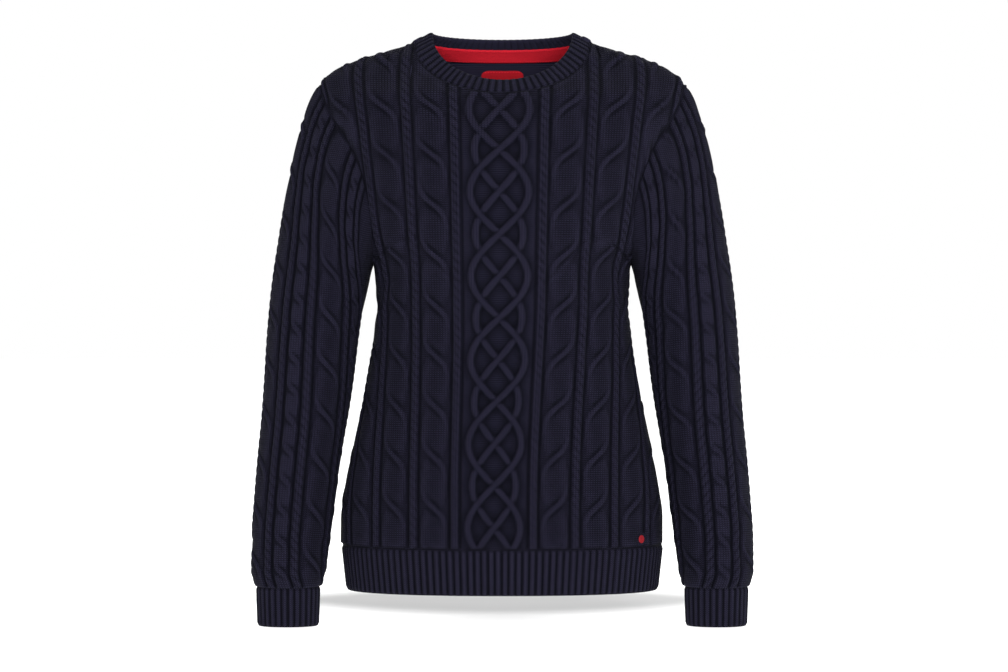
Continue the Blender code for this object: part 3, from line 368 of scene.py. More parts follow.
def smooth_curve(knots, values, at):
    """A smooth curve through the knots that doesn't overshoot them, read at the places given."""
    steps = np.diff(knots)
    rises = np.diff(values) / steps
    together = rises[1:] * rises[:-1] > 0
    both = np.where(together, rises[1:] + rises[:-1], 1)
    slopes = np.zeros(len(knots))
    slopes[1:-1] = np.where(together, 2 * rises[1:] * rises[:-1] / both, 0)
    slopes[0], slopes[-1] = rises[0], rises[-1]
    i = np.clip(np.searchsorted(knots, at) - 1, 0, len(steps) - 1)
    h, t = steps[i], np.clip((at - knots[i]) / steps[i], 0, 1)
    return (
        values[i] * (1 + 2 * t) * (1 - t) ** 2
        + values[i + 1] * t * t * (3 - 2 * t)
        + h * slopes[i] * t * (1 - t) ** 2
        - h * slopes[i + 1] * t * t * (1 - t)
    )


def torso(column, z):
    return smooth_curve(TORSO["z"], TORSO[column], z)


# ---------------------------------------------------------------- the torso's surface


def neck_turn(u):
    """The angle round the neck: 0 in the middle of a panel, pi/2 at its side, where |u| is 0.5."""
    share = np.clip(2 * np.abs(u), 0, 1)
    return np.sign(u) * np.pi / 2 * (1 - (1 - share) ** NECK_SPREAD)


def neckline(u, centre_z):
    """The seam of the neckband, as x and z."""
    turn = neck_turn(u)
    x = NECK_HALF * np.sin(turn)
    z = centre_z + (NECK_SIDE_Z - centre_z) * (1 - np.cos(turn)) ** NECK_RISE_POWER
    return x, z


def shoulder_line(u):
    """The shoulder seam: x and z where |u| goes from 0.5 at the neck to 1 at the sleeve."""
    heights = np.linspace(NECK_SIDE_Z, SHOULDER_Z, SHOULDER_STEPS)
    halves = torso("half", heights)
    share = np.clip((np.abs(u) - 0.5) / 0.5, 0, 1)
    x = NECK_HALF + (SHOULDER_HALF - NECK_HALF) * share
    return np.sign(u) * x, np.interp(x, halves, heights)


def top_edge(u, side):
    """The upper edge of the front (side -1) or back (side 1): the neckline, then the shoulder."""
    neck_x, neck_z = neckline(u, NECK_FRONT_Z if side < 0 else NECK_BACK_Z)
    seam_x, seam_z = shoulder_line(u)
    on_neck = np.abs(u) <= 0.5
    return np.where(on_neck, neck_x, seam_x), np.where(on_neck, neck_z, seam_z)


def panel_place(side, u, v):
    """x and z of a panel's point. u goes from -1 to 1 across it, v from 0 at the hem to 1."""
    u, v = np.broadcast_arrays(np.asarray(u, float), np.asarray(v, float))
    top_x, top_z = top_edge(u, side)
    up_arm = np.clip((v - ARMHOLE_START) / (1 - ARMHOLE_START), 0, 1)
    below = (UNDERARM_Z - HEM_SEAM_Z) / (SHOULDER_Z - HEM_SEAM_Z)
    start = np.clip(v / ARMHOLE_START, 0, 1) * below
    at_edge = start + (1 - below) * (1 - np.cos(np.pi * up_arm)) / 2
    at_shoulder = start + (1 - below) * np.sin(np.pi * up_arm / 2)
    wide = smoothstep(*NECK_CORNER, np.abs(u))
    rise = v + (at_shoulder - v) * wide
    rise = rise + (at_edge - rise) * np.abs(u) ** EDGE_POWER
    z = HEM_SEAM_Z + (top_z - HEM_SEAM_Z) * rise
    half, edge = torso("half", z), torso("edge", np.minimum(z, SHOULDER_Z))
    power = torso("power", z)
    to_edge = np.arcsin(np.clip(np.minimum(edge, half) / half, 0, 1) ** (power / 2))
    swing = np.radians(torso("swing", z))
    swing = swing + (to_edge - swing) * np.abs(u) ** EDGE_POWER
    ring_x = np.sign(u) * half * np.abs(np.sin(u * swing)) ** (2 / power)
    share = smoothstep(0, 1, up_arm)
    x = ring_x + (top_x * edge / SHOULDER_HALF - ring_x) * share
    return x, z


def ring_y(x, z, side):
    half, power = torso("half", z), torso("power", z)
    depth = torso("front" if side < 0 else "back", z)
    return depth * np.clip(1 - np.abs(x / half) ** power, 0, 1) ** (1 / power)


def panel_point(side, u, v):
    x, z = panel_place(side, u, v)
    return np.stack([x, side * (ring_y(x, z, side) + SEAM_GAP / 2), z], axis=-1)


def panel_normal(side, u, v):
    step = 1e-3
    u, v = np.broadcast_arrays(np.asarray(u, float), np.asarray(v, float))
    left, right = np.maximum(u - step, -1), np.minimum(u + step, 1)
    low, high = np.maximum(v - step, 0), np.minimum(v + step, 1)
    across = panel_point(side, right, v) - panel_point(side, left, v)
    up = panel_point(side, u, high) - panel_point(side, u, low)
    return unit(-side * np.cross(across, up))


def girth_to(x, z, side):
    """The length of the ring at height z from the middle of the panel to x."""
    half, power = torso("half", z), torso("power", z)
    depth = torso("front" if side < 0 else "back", z)
    end = np.arcsin(np.clip(np.abs(x / half), 0, 1) ** (power / 2))
    turn = end[..., None] * np.linspace(0, 1, GIRTH_STEPS)
    curve = 2 / power[..., None]
    along_x = half[..., None] * np.sin(turn) ** curve
    along_y = depth[..., None] * np.cos(turn) ** curve
    return np.sign(x) * np.hypot(np.diff(along_x), np.diff(along_y)).sum(axis=-1)


# ---------------------------------------------------------------- the sleeve's surface


def sleeve_rows():
    """How far along the outer arm each ring of the table lies, from 0 to 1."""
    way = np.hypot(np.diff(SLEEVE["out_x"]), np.diff(SLEEVE["out_z"]))
    along = np.concatenate([[0], np.cumsum(way)])
    return along / along[-1]


SLEEVE_V = sleeve_rows()


def sleeve(column, v):
    return smooth_curve(SLEEVE_V, SLEEVE[column], v)


def sleeve_ring(v, turn):
    """An oval through the outer and the inner point. turn is 0 outside, pi/2 in front."""
    outer = np.stack([sleeve("out_x", v), sleeve("y", v), sleeve("out_z", v)], axis=-1)
    inner = np.stack([sleeve("in_x", v), sleeve("y", v), sleeve("in_z", v)], axis=-1)
    middle, reach = (outer + inner) / 2, (outer - inner) / 2
    point = middle + reach * np.cos(turn)[..., None]
    point[..., 1] -= sleeve("depth", v) * np.sin(turn)
    return point


def armhole(turn):
    """The panels' edge at the armhole, where turn is pi at the underarm and 0 at the shoulder."""
    turn = np.mod(turn, 2 * np.pi)
    share = 1 - np.where(turn > np.pi, 2 * np.pi - turn, turn) / np.pi
    v = ARMHOLE_START + (1 - ARMHOLE_START) * share
    front, back = panel_point(-1, 1.0, v), panel_point(1, 1.0, v)
    return np.where((turn <= np.pi)[..., None], front, back)


def sleeve_point(v, turn, seam=None):
    """A point of the +X sleeve. seam moves its first ring off the panels' edge."""
    v, turn = np.broadcast_arrays(np.asarray(v, float), np.asarray(turn, float))
    pull = armhole(turn) - sleeve_ring(np.zeros_like(v), turn)
    if seam is not None:
        pull = pull + seam
    hold = 1 - smoothstep(0, SLEEVE_BLEND, v)
    return sleeve_ring(v, turn) + hold[..., None] * pull


def sleeve_normal(v, turn):
    step = 1e-3
    low, high = np.maximum(v - step, 0), np.minimum(v + step, 1)
    along = sleeve_point(high, turn) - sleeve_point(low, turn)
    around = sleeve_point(v, turn + step) - sleeve_point(v, turn - step)
    return unit(np.cross(around, along))


# ---------------------------------------------------------------- where pieces meet


def mitre(tangent, first, first_in, second, second_in):
    """The common edge direction of two walls, and the way from the first wall to the second.

    first and second are the walls' outward normals, and *_in point from the seam into each wall.
    """
    out = first + second + first_in + second_in
    out = unit(out - tangent * (out * tangent).sum(axis=-1, keepdims=True))
    over = unit(np.cross(tangent, out))
    way = (over * (second_in - first_in + first - second)).sum(axis=-1, keepdims=True)
    return out, over * np.where(way < 0, -1, 1)


def into_panel(tangent, normal, inside):
    flat = unit(np.cross(normal, tangent))
    return flat * np.where((flat * inside).sum(axis=-1, keepdims=True) < 0, -1, 1)


def armhole_mitre(turn):
    """The armhole seam on the +X side, at each turn."""
    turn = np.mod(np.asarray(turn, float), 2 * np.pi)
    front = turn <= np.pi
    share = 1 - np.where(front, turn, 2 * np.pi - turn) / np.pi
    v = ARMHOLE_START + (1 - ARMHOLE_START) * share
    step = 2e-3
    tangent = unit(armhole(turn + step) - armhole(turn - step))
    normal = np.where(front[..., None], panel_normal(-1, 1.0, v), panel_normal(1, 1.0, v))
    near = [panel_point(side, 1 - NEAR_SEAM, v) for side in (-1, 1)]
    inside = np.where(front[..., None], *near) - armhole(turn)
    panel_in = into_panel(tangent, normal, inside)
    start = sleeve_point(0.0, turn)
    sleeve_in = sleeve_point(NEAR_SEAM, turn) - start
    sleeve_in = unit(sleeve_in - tangent * (sleeve_in * tangent).sum(axis=-1, keepdims=True))
    outward = unit(np.cross(tangent, sleeve_in))
    middle = sleeve_ring(np.zeros_like(turn), turn + np.pi) / 2 + start / 2
    facing = (outward * (start - middle)).sum(axis=-1, keepdims=True)
    outward = outward * np.where(facing < 0, -1, 1)
    out, over = mitre(tangent, normal, panel_in, outward, sleeve_in)
    on_seam = (share < 1e-6) | (share > 1 - 1e-6)
    out[on_seam, 1] = 0
    over[on_seam, 1] = 0
    return unit(out), unit(over)


def band_top(u, side):
    """The upper edge of the neckband, above the neckline's point at u."""
    turn = neck_turn(u)
    y, z = BAND_TOP_FRONT if side < 0 else BAND_TOP_BACK
    rise = z + (BAND_TOP_SIDE_Z - z) * (1 - np.cos(turn))
    return np.stack([BAND_TOP_HALF * np.sin(turn), y * np.cos(turn), rise], axis=-1)


def neck_mitre(side, u):
    """The neckband's seam on the front or back, at each u from -0.5 to 0.5."""
    u = np.asarray(u, float)
    step = 1e-3
    low, high = np.maximum(u - step, -0.5), np.minimum(u + step, 0.5)
    tangent = unit(panel_point(side, high, 1.0) - panel_point(side, low, 1.0))
    normal = panel_normal(side, np.clip(u, -NECK_INSIDE, NECK_INSIDE), TOP_INSIDE)
    start = panel_point(side, u, 1.0)
    panel_in = into_panel(tangent, normal, panel_point(side, u, 1 - NEAR_SEAM) - start)
    band_in = band_top(u, side) - start
    band_in = unit(band_in - tangent * (band_in * tangent).sum(axis=-1, keepdims=True))
    outward = unit(np.cross(tangent, band_in))
    outward = outward * np.where((outward * normal).sum(axis=-1, keepdims=True) < 0, -1, 1)
    out, over = mitre(tangent, normal, panel_in, outward, band_in)
    out[..., 1] *= 1 - (2 * np.abs(u)) ** NECK_SQUARE
    over[..., 1] *= 1 - (2 * np.abs(u)) ** NECK_SQUARE
    return unit(out), unit(over)


# ---------------------------------------------------------------- the knitting


def cord(distance, half):
    """The height of a round cord, from 0 at its edge to 1 on top."""
    return np.sqrt(np.clip(1 - (distance / half) ** 2, 0, 1))


def rope(p, q, lean):
    """A narrow column of two twisted plies. lean is the way they turn."""
    groove = np.abs(np.sin(np.pi * (q / ROPE_TWIST + lean * p / (2 * ROPE_HALF)))) ** PLY_ROUND
    return ROPE_RISE * cord(p, ROPE_HALF) * (1 - ROPE_GROOVE + ROPE_GROOVE * groove)


def crossing_cable(p, q, lean, half, pitch, start):
    """Flat knitting whose halves cross at every pitch, in lobes with a raised ridge between them."""
    from_cross = np.mod(q - start + pitch / 2, pitch) - pitch / 2
    steep, reach = CROSSING_STEEP * half, CROSSING_REACH * half
    path = reach * np.tanh(from_cross / steep)
    slope = reach / steep / np.cosh(from_cross / steep) ** 2
    near = np.exp(-((from_cross / (CROSSING_NEAR * half)) ** 2))
    width = half * (1 - CROSSING_PINCH * near)
    pillow = np.clip(1 - (np.abs(p) / width) ** PILLOW_FLAT, 0, 1) ** PILLOW_EDGE
    lobe = 1 - LOBE_ROUND * (1 - np.abs(from_cross) / (pitch / 2)) ** 3
    across = (lean * p - path) / np.hypot(1, slope)
    strong = RIDGE_TAIL + (1 - RIDGE_TAIL) * np.exp(-((from_cross / (RIDGE_NEAR * half)) ** 2))
    ridge = cord(across, RIDGE_HALF) * strong
    dip = np.exp(-(((np.abs(across) - CROSSING_DIP_PLACE) / CROSSING_DIP_HALF) ** 2)) * near
    lobes = CABLE_RISE * lobe * (1 - CROSSING_DIP * dip)
    return np.where(np.abs(p) < half, pillow * (lobes + RIDGE_RISE * ridge), 0)


def beside_rope(p):
    """1 in the ditches of purl along both edges of a rope, and 0 away from them."""
    return np.exp(-(((np.abs(p) - DITCH_PLACE) / DITCH_HALF) ** 2))


def closeness(p, ropes, lattice_half):
    """How closely the mesh's columns lie at p across the knitting."""
    out = np.abs(p)
    to_rope = np.min([np.abs(out - middle) for middle in ropes], axis=0)
    on_rope = 1 - smoothstep(CLOSER_HALF - CLOSER_FADE, CLOSER_HALF + CLOSER_FADE, to_rope)
    on_lattice = 1 - smoothstep(lattice_half - LATTICE_FADE, lattice_half, out)
    return CLOSE + (CLOSER_ON_ROPES - CLOSE) * on_rope + (CLOSER_ON_LATTICE - CLOSE) * on_lattice


def closer_columns(p, weight, count, closed=False):
    """Places for count columns along each row, closer where the weight is more."""
    steps = np.abs(np.diff(p, axis=1))
    if closed:
        back = np.abs(p[:, :1] - p[:, -1:])
        steps = np.concatenate([steps, back], axis=1)
        steps = np.minimum(steps, np.median(steps, axis=1, keepdims=True) * WIDEST_STEP)
        weight = np.concatenate([weight, weight[:, :1]], axis=1)
    steps = steps * (weight[:, 1:] + weight[:, :-1])
    runs = np.concatenate([np.zeros((len(p), 1)), np.cumsum(steps, axis=1)], axis=1)
    shares = np.arange(count) / count if closed else np.linspace(0, 1, count)
    numbers = np.arange(runs.shape[1])
    return np.array([np.interp(shares, run / run[-1], numbers) for run in runs])


def along_rows(values, places):
    """A grid's values read along each row at the places given."""
    i = np.clip(places.astype(int), 0, values.shape[1] - 2)
    rows = np.arange(len(values))[:, None]
    return values[rows, i] + (values[rows, i + 1] - values[rows, i]) * (places - i)


def evened(grid):
    """A grid of values evened out inside its own edges."""
    grid = grid.copy()
    for _ in range(EVEN_PASSES):
        middle = grid[:-2, 1:-1] + grid[2:, 1:-1] + grid[1:-1, :-2] + grid[1:-1, 2:]
        grid[1:-1, 1:-1] = middle / 4
    return grid


def lattice(p, q):
    """Four strands that swing across the middle and weave over and under each other."""
    turn = np.pi * (q - LATTICE_START) / LATTICE_PITCH
    rate = np.pi / LATTICE_PITCH
    strands = [
        (sign * LATTICE_BIG * np.sin(turn), sign * LATTICE_BIG * rate * np.cos(turn), True)
        for sign in (1, -1)
    ] + [
        (sign * LATTICE_SMALL * np.cos(turn), -sign * LATTICE_SMALL * rate * np.sin(turn), False)
        for sign in (1, -1)
    ]
    height = np.zeros_like(p)
    for i, (place, slope, big) in enumerate(strands):
        held = np.ones_like(p)
        for j, (other, _, other_big) in enumerate(strands):
            if i == j or (big and not other_big):
                continue
            under = 1.0 if other_big and not big else slope < 0
            near = np.exp(-(((place - other) / STRAND_SINK_HALF) ** 2))
            held = held * (1 - LATTICE_DIP * under * near)
        distance = (p - place) / np.hypot(1, slope)
        height = np.maximum(height, cord(distance, LATTICE_STRAND) * held)
    return LATTICE_RISE * height


def body_knit(p, q):
    """The height of the body's knitting at p across and q up, and 1 where it is raised."""
    height = np.where(np.abs(p) < LATTICE_HALF, lattice(p, q), 0)
    side, out = np.sign(p), np.abs(p)
    ditch = np.zeros_like(p)
    for k in range(COLUMNS):
        middle = COLUMN_FIRST + COLUMN_STEP * k
        height = np.maximum(height, rope(out - middle, q, side))
        ditch = np.maximum(ditch, beside_rope(out - middle))
        centre = middle + COLUMN_STEP / 2
        place = (out - centre) * side
        one = crossing_cable(place, q, side, CABLE_HALF, CABLE_PITCH, CABLE_START)
        height = np.maximum(height, one)
    cable = smoothstep(*RAISED, height)
    return height - DITCH_DEPTH * ditch, cable


def sleeve_knit(p, q, lean):
    """The same for a sleeve, at p round the arm and q up from the cuff."""
    out = np.abs(p)
    height = np.zeros_like(p)
    ditch = np.zeros_like(p)
    for middle in SLEEVE_ROPES:
        height = np.maximum(height, rope(out - middle, q, np.sign(p)))
        ditch = np.maximum(ditch, beside_rope(out - middle))
    wide = (CABLE_HALF, SLEEVE_CABLE_PITCH, SLEEVE_CABLE_START)
    chain = (CHAIN_HALF, CHAIN_PITCH, CHAIN_START)
    cables = [(centre, wide) for centre in (0.0, SLEEVE_WIDE, -SLEEVE_WIDE)]
    cables += [(sign * centre, chain) for centre in SLEEVE_CHAINS for sign in (1, -1)]
    for centre, sizes in cables:
        height = np.maximum(height, crossing_cable(p - centre, q, lean, *sizes))
    cable = smoothstep(*RAISED, height)
    return height - DITCH_DEPTH * ditch, cable


def front_drift(z):
    """How far the front's knitting lies off the middle: it drifts towards -X low down."""
    return FRONT_DRIFT + LOW_DRIFT * smoothstep(*DRIFT_FROM_TO, z)


def ring_turn(x, z):
    """The angle of a point round the torso's ring: 0 in the middle of a panel."""
    half, power = torso("half", z), torso("power", z)
    return np.sign(x) * np.arcsin(np.clip(np.abs(x / half), 0, 1) ** (power / 2))


def ring_x(turn, z):
    half, power = torso("half", z), torso("power", z)
    return np.sign(turn) * half * np.abs(np.sin(turn)) ** (2 / power)


def panel_knit_places(side, x, z):
    """Where a panel's points lie in its knitting: across from its middle."""
    drift = front_drift(z) if side < 0 else 0
    return (girth_to(x, z, side) - drift) / torso("stretch", z)


def panel_relief(side, points, across):
    """A panel's height, where it is raised, and how far its folds and loft have risen."""
    x, z = points[..., 0], points[..., 2]
    height, cable = body_knit(across, z)
    fade = seam_fade(points, (points[:, :1], points[:, -1:], points[:1], points[-1:]))
    bed = np.zeros_like(x)
    if side < 0:
        to_patch = np.hypot(x - PATCH_X, z - PATCH_Z)
        bed = 1 - smoothstep(*PATCH_BED_EDGE, to_patch - PATCH_RADIUS)
        height = height + (PATCH_BED - height) * bed
    return height * fade, cable, fade * (1 - bed)


def seam_fade(points, edges):
    """How far the knitting has risen: 0 at the edges and in the fold below the arm."""
    nearest = np.min([np.linalg.norm(points - edge, axis=-1) for edge in edges], axis=0)
    underarm = (torso("half", np.array(UNDERARM_Z)), 0, UNDERARM_Z)
    to_underarm = np.linalg.norm(np.abs(points) * (1, 1, -1) - underarm, axis=-1)
    return smoothstep(0, SEAM_FADE, nearest) * smoothstep(*UNDERARM_PLAIN, to_underarm)


def sleeve_knit_places(v, turn, points):
    """Where a sleeve's points lie in its knitting: round from its middle line, and up its arm."""
    lengths = np.linalg.norm(np.diff(points, axis=0), axis=-1)
    up = np.concatenate([np.cumsum(lengths[::-1], axis=0)[::-1], np.zeros((1, points.shape[1]))])
    ends = np.linalg.norm(np.diff(points, axis=1, append=points[:, :1]), axis=-1)
    round_arm = np.concatenate([np.zeros((len(points), 1)), np.cumsum(ends, axis=1)], axis=1)
    girth = round_arm[:, -1:]
    middle = np.array(
        [
            np.interp(np.radians(t), np.append(turns, 2 * np.pi), row)
            for t, turns, row in zip(sleeve("turn", v[:, 0]), turn, round_arm)
        ]
    )[:, None]
    off = np.mod(round_arm[:, :-1] - middle + girth / 2, girth) - girth / 2
    return off / sleeve("stretch", v[:, :1]), up


def sleeve_relief(turn, points, off, up, lean):
    """The same for a sleeve."""
    height, cable = sleeve_knit(off, up, lean)
    fade = seam_fade(points, (sleeve_point(0.0, turn), sleeve_point(1.0, turn)))
    return height * fade, cable, fade


def folds_at(across, up, folds):
    """The soft ridges and troughs of a piece's table at its knitting's places."""
    height = np.zeros_like(across)
    for i in range(len(folds["up"])):
        one = {name: column[i] for name, column in folds.items()}
        lean = np.radians(one["lean"])
        right, rise = across - one["across"], up - one["up"]
        along = right * np.sin(lean) + rise * np.cos(lean)
        beside = right * np.cos(lean) - rise * np.sin(lean)
        ends = 1 - smoothstep(*FOLD_ENDS, np.abs(along) / (one["length"] / 2))
        height = height + one["depth"] * ends * np.exp(-((beside / one["width"]) ** 2))
    return height


def painted_shade_of_hollows(relief):
    """How far each point stands out of its surroundings, below 0 in a ditch, which the yarn's material
    paints as shade.
    """
    around = relief
    for axis in (0, 1, 0, 1):
        steps = [np.roll(around, shift, axis) for shift in range(-PAINTED_SHADE_CELLS, PAINTED_SHADE_CELLS + 1)]
        around = np.mean(steps, axis=0)
    return np.clip(relief - around, *PAINTED_SHADE_RANGE)


# ---------------------------------------------------------------- making meshes


class Wall:
    """The points and faces of one closed wall, with what the yarn's material reads at each."""

    def __init__(self):
        self.points = []
        self.faces = []
        self.marks = []

    def add(self, points, across=0.0, up=0.0, height=0.0, cable=0.0):
        """Adds an array of points, and gives their numbers in an array of the same shape."""
        points = np.asarray(points, float)
        shape = points.shape[:-1]
        first = sum(len(rows) for rows in self.points)
        marks = [np.broadcast_to(mark, shape).ravel() for mark in (across, up, height, cable)]
        self.points.append(points.reshape(-1, 3))
        self.marks.append(np.stack(marks, axis=-1))
        return np.arange(first, first + len(self.points[-1])).reshape(shape)

    def grid(self, numbers, closed=False):
        """Quads over a grid of point numbers. closed joins its last column to its first."""
        right = np.roll(numbers, -1, axis=1) if closed else numbers[:, 1:]
        left = numbers if closed else numbers[:, :-1]
        corners = (left[:-1], right[:-1], right[1:], left[1:])
        self.faces.extend(np.stack(corners, axis=-1).reshape(-1, 4).tolist())

    def zip(self, first, at_first, second, at_second):
        """Triangles between two rows of points, taken in the order of the places given."""
        i = j = 0
        while i < len(first) - 1 or j < len(second) - 1:
            step_first = j == len(second) - 1 or (
                i < len(first) - 1 and at_first[i + 1] <= at_second[j + 1]
            )
            if step_first:
                self.faces.append((int(first[i]), int(second[j]), int(first[i + 1])))
                i += 1
            else:
                self.faces.append((int(first[i]), int(second[j]), int(second[j + 1])))
                j += 1

    def build(self, name, material):
        """Makes the object, with the knitting's places as its UV map, and as marks the painted shade
        of its relief and where it is raised.
        """
        points, marks = np.concatenate(self.points), np.concatenate(self.marks)
        mesh = bpy.data.meshes.new(name)
        mesh.from_pydata((points * MM).tolist(), [], self.faces)
        mesh.update()
        turn_outwards(mesh)
        places = mesh.uv_layers.new(name="knitting")
        corners = np.empty(len(mesh.loops), np.int32)
        mesh.loops.foreach_get("vertex_index", corners)
        places.data.foreach_set("uv", (marks[corners, :2] / UV_UNIT).astype(np.float32).ravel())
        for kind, column in (("height", 2), ("cable", 3)):
            mark = mesh.attributes.new(kind, "FLOAT", "POINT")
            mark.data.foreach_set("value", marks[:, column].astype(np.float32))
        mesh.materials.append(material)
        mesh.shade_smooth()
        obj = bpy.data.objects.new(name, mesh)
        bpy.context.scene.collection.objects.link(obj)
        return obj


def turn_outwards(mesh):
    """Turns every face the same way round, facing out of the wall."""
    shape = bmesh.new()
    shape.from_mesh(mesh)
    bmesh.ops.recalc_face_normals(shape, faces=shape.faces)
    if shape.calc_volume(signed=True) < 0:
        bmesh.ops.reverse_faces(shape, faces=shape.faces)
    shape.to_mesh(mesh)
    shape.free()


def border(numbers):
    """The four edge rows of a grid of point numbers."""
    return numbers[0], numbers[-1], numbers[:, 0], numbers[:, -1]


def seam_rows():
    below = np.linspace(0, ARMHOLE_START, BELOW_ARMHOLE + 1)
    return np.concatenate([below[:-1], np.linspace(ARMHOLE_START, 1, ALONG_ARMHOLE + 1)])


def panel_seams(side):
    """A panel's grid of points at its seams' spacing, and the directions of its wall."""
    across, rows = np.linspace(-1, 1, ACROSS + 1), seam_rows()
    u, v = np.meshgrid(across, rows)
    points, out = panel_point(side, u, v), panel_normal(side, u, v)
    out[0, :, 2] = 0
    out[:, [0, -1], 1] = 0
    shoulder = np.abs(across) >= 0.5
    out[-1, shoulder, 1] = 0
    share = np.linspace(0, 1, ALONG_ARMHOLE + 1)
    turn = np.pi * (1 - share) if side < 0 else np.pi * (1 + share)
    edge, _ = armhole_mitre(turn)
    out[BELOW_ARMHOLE:, -1] = edge
    out[BELOW_ARMHOLE:, 0] = edge * (-1, 1, 1)
    neck = np.abs(across) <= 0.5 + 1e-9
    out[-1, neck] = neck_mitre(side, across[neck])[0]
    return points, unit(out)


def make_panel(name, side, material):
    wall = Wall()
    points, out = panel_seams(side)
    across, rows = np.linspace(-1, 1, ACROSS + 1), seam_rows()
    at_seam = np.zeros(points.shape[:2], bool)
    at_seam[[0, -1]] = at_seam[:, [0, -1]] = True
    inside = panel_knit_places(side, points[..., 0], points[..., 2]), points[..., 2]
    # The plain inside is marked lighter all over: painted light against the shade it lies in
    inner = wall.add(points - out * WALL, *inside, INSIDE_PAINTED_LIGHT, INSIDE_CABLE)
    wall.grid(inner)
    rim = np.full(points.shape[:2], -1)
    rim[at_seam] = wall.add(points[at_seam], *[place[at_seam] for place in inside])

    fine_v = np.linspace(INSET_UP, 1 - INSET_UP, FINE_UP)
    u, v = np.meshgrid(np.linspace(-1 + INSET_ACROSS, 1 - INSET_ACROSS, 2 * FINE_ACROSS), fine_v)
    x, z = panel_place(side, u, v)
    turn, z = evened(ring_turn(x, z)), evened(z)
    knit_across = panel_knit_places(side, ring_x(turn, z), z)
    ropes = COLUMN_FIRST + COLUMN_STEP * np.arange(COLUMNS)
    weight = closeness(knit_across, ropes, LATTICE_HALF)
    places = closer_columns(knit_across, weight, FINE_ACROSS)
    u, turn, z = [along_rows(values, places) for values in (u, turn, z)]
    x = ring_x(turn, z)
    base = np.stack([x, side * (ring_y(x, z, side) + SEAM_GAP / 2), z], axis=-1)
    normal = -side * unit(np.cross(np.gradient(base, axis=1), np.gradient(base, axis=0)))
    knit_across = panel_knit_places(side, x, z)
    relief, cable, fade = panel_relief(side, base, knit_across)
    loft = LOFT + (SHOULDER_LOFT - LOFT) * smoothstep(*LOFT_FROM_TO, z)
    lift = relief + (folds_at(knit_across, z, FOLDS[name]) + loft) * fade
    # The height mark is painted shade: dark in the ditches, light on the knitting that stands out
    fine = wall.add(base + normal * lift[..., None], knit_across, z, painted_shade_of_hollows(relief), cable)
    wall.grid(fine)
    for rim_edge, fine_edge, at_rim, at_fine in zip(
        border(rim), border(fine), (across, across, rows, rows), (u[0], u[-1], fine_v, fine_v)
    ):
        wall.zip(rim_edge, at_rim, fine_edge, at_fine)
    for inner_edge, outer_edge in zip(border(inner), border(rim)):
        wall.grid(np.stack([inner_edge, outer_edge]))
    return wall.build(name, material)


def make_sleeve(name, mirror, material):
    """The sleeve of the +X side, or its mirror image whose cables cross the same way."""
    wall = Wall()
    count = 2 * ALONG_ARMHOLE
    turns = 2 * np.pi * np.arange(count) / count
    out, over = armhole_mitre(turns)
    turn, v = np.meshgrid(turns, np.linspace(0, 1, SLEEVE_RINGS + 1))
    points = sleeve_point(v, turn, over * SEAM_GAP)
    direction = sleeve_normal(v, turn)
    direction[0] = out
    direction[-1, :, 2] = 0
    off, up = sleeve_knit_places(v, turn, points)
    shell = (points - unit(direction) * WALL) * mirror
    # The plain inside is marked lighter all over: painted light against the shade it lies in
    inner = wall.add(shell, off, up, INSIDE_PAINTED_LIGHT, INSIDE_CABLE)
    wall.grid(inner, closed=True)

    even = 2 * np.pi * np.arange(2 * FINE_ROUND) / (2 * FINE_ROUND)
    fine_turn, fine_v = np.meshgrid(even, np.linspace(INSET_ALONG, 1 - INSET_ALONG, FINE_ALONG))
    fine_off, _ = sleeve_knit_places(fine_v, fine_turn, sleeve_point(fine_v, fine_turn))
    places = closer_columns(fine_off, closeness(fine_off, SLEEVE_ROPES, 0.0), FINE_ROUND, True)
    whole = np.append(fine_turn, np.full((FINE_ALONG, 1), 2 * np.pi), axis=1)
    fine_turn, fine_v = along_rows(whole, places), fine_v[:, :FINE_ROUND]
    _, over_seam = armhole_mitre(fine_turn[0])
    base = sleeve_point(fine_v, fine_turn, over_seam * SEAM_GAP)
    fine_off, fine_up = sleeve_knit_places(fine_v, fine_turn, base)
    relief, cable, fade = sleeve_relief(fine_turn, base, fine_off, fine_up, mirror[0])
    lift = relief + (folds_at(fine_off, fine_up, FOLDS[name]) + LOFT) * fade
    raised = base + sleeve_normal(fine_v, fine_turn) * lift[..., None]
    # The height mark is painted shade: dark in the ditches, light on the knitting that stands out
    fine = wall.add(raised * mirror, fine_off, fine_up, painted_shade_of_hollows(relief), cable)
    wall.grid(fine, closed=True)
    for row in (0, -1):
        rim = wall.add(points[row] * mirror, off[row], up[row])
        wall.zip(
            np.append(rim, rim[0]),
            np.append(turns, 2 * np.pi),
            np.append(fine[row], fine[row, 0]),
            np.append(fine_turn[row], 2 * np.pi),
        )
        wall.grid(np.stack([inner[row], rim]), closed=True)
    return wall.build(name, material)


def along_loop(loop, share):
    """Points on a closed loop's straight runs, at shares of its corners from 0 to 1."""
    place = np.asarray(share) * len(loop)
    i = np.floor(place).astype(int) % len(loop)
    t = (place - np.floor(place))[:, None]
    return loop[i] * (1 - t) + np.roll(loop, -1, axis=0)[i] * t


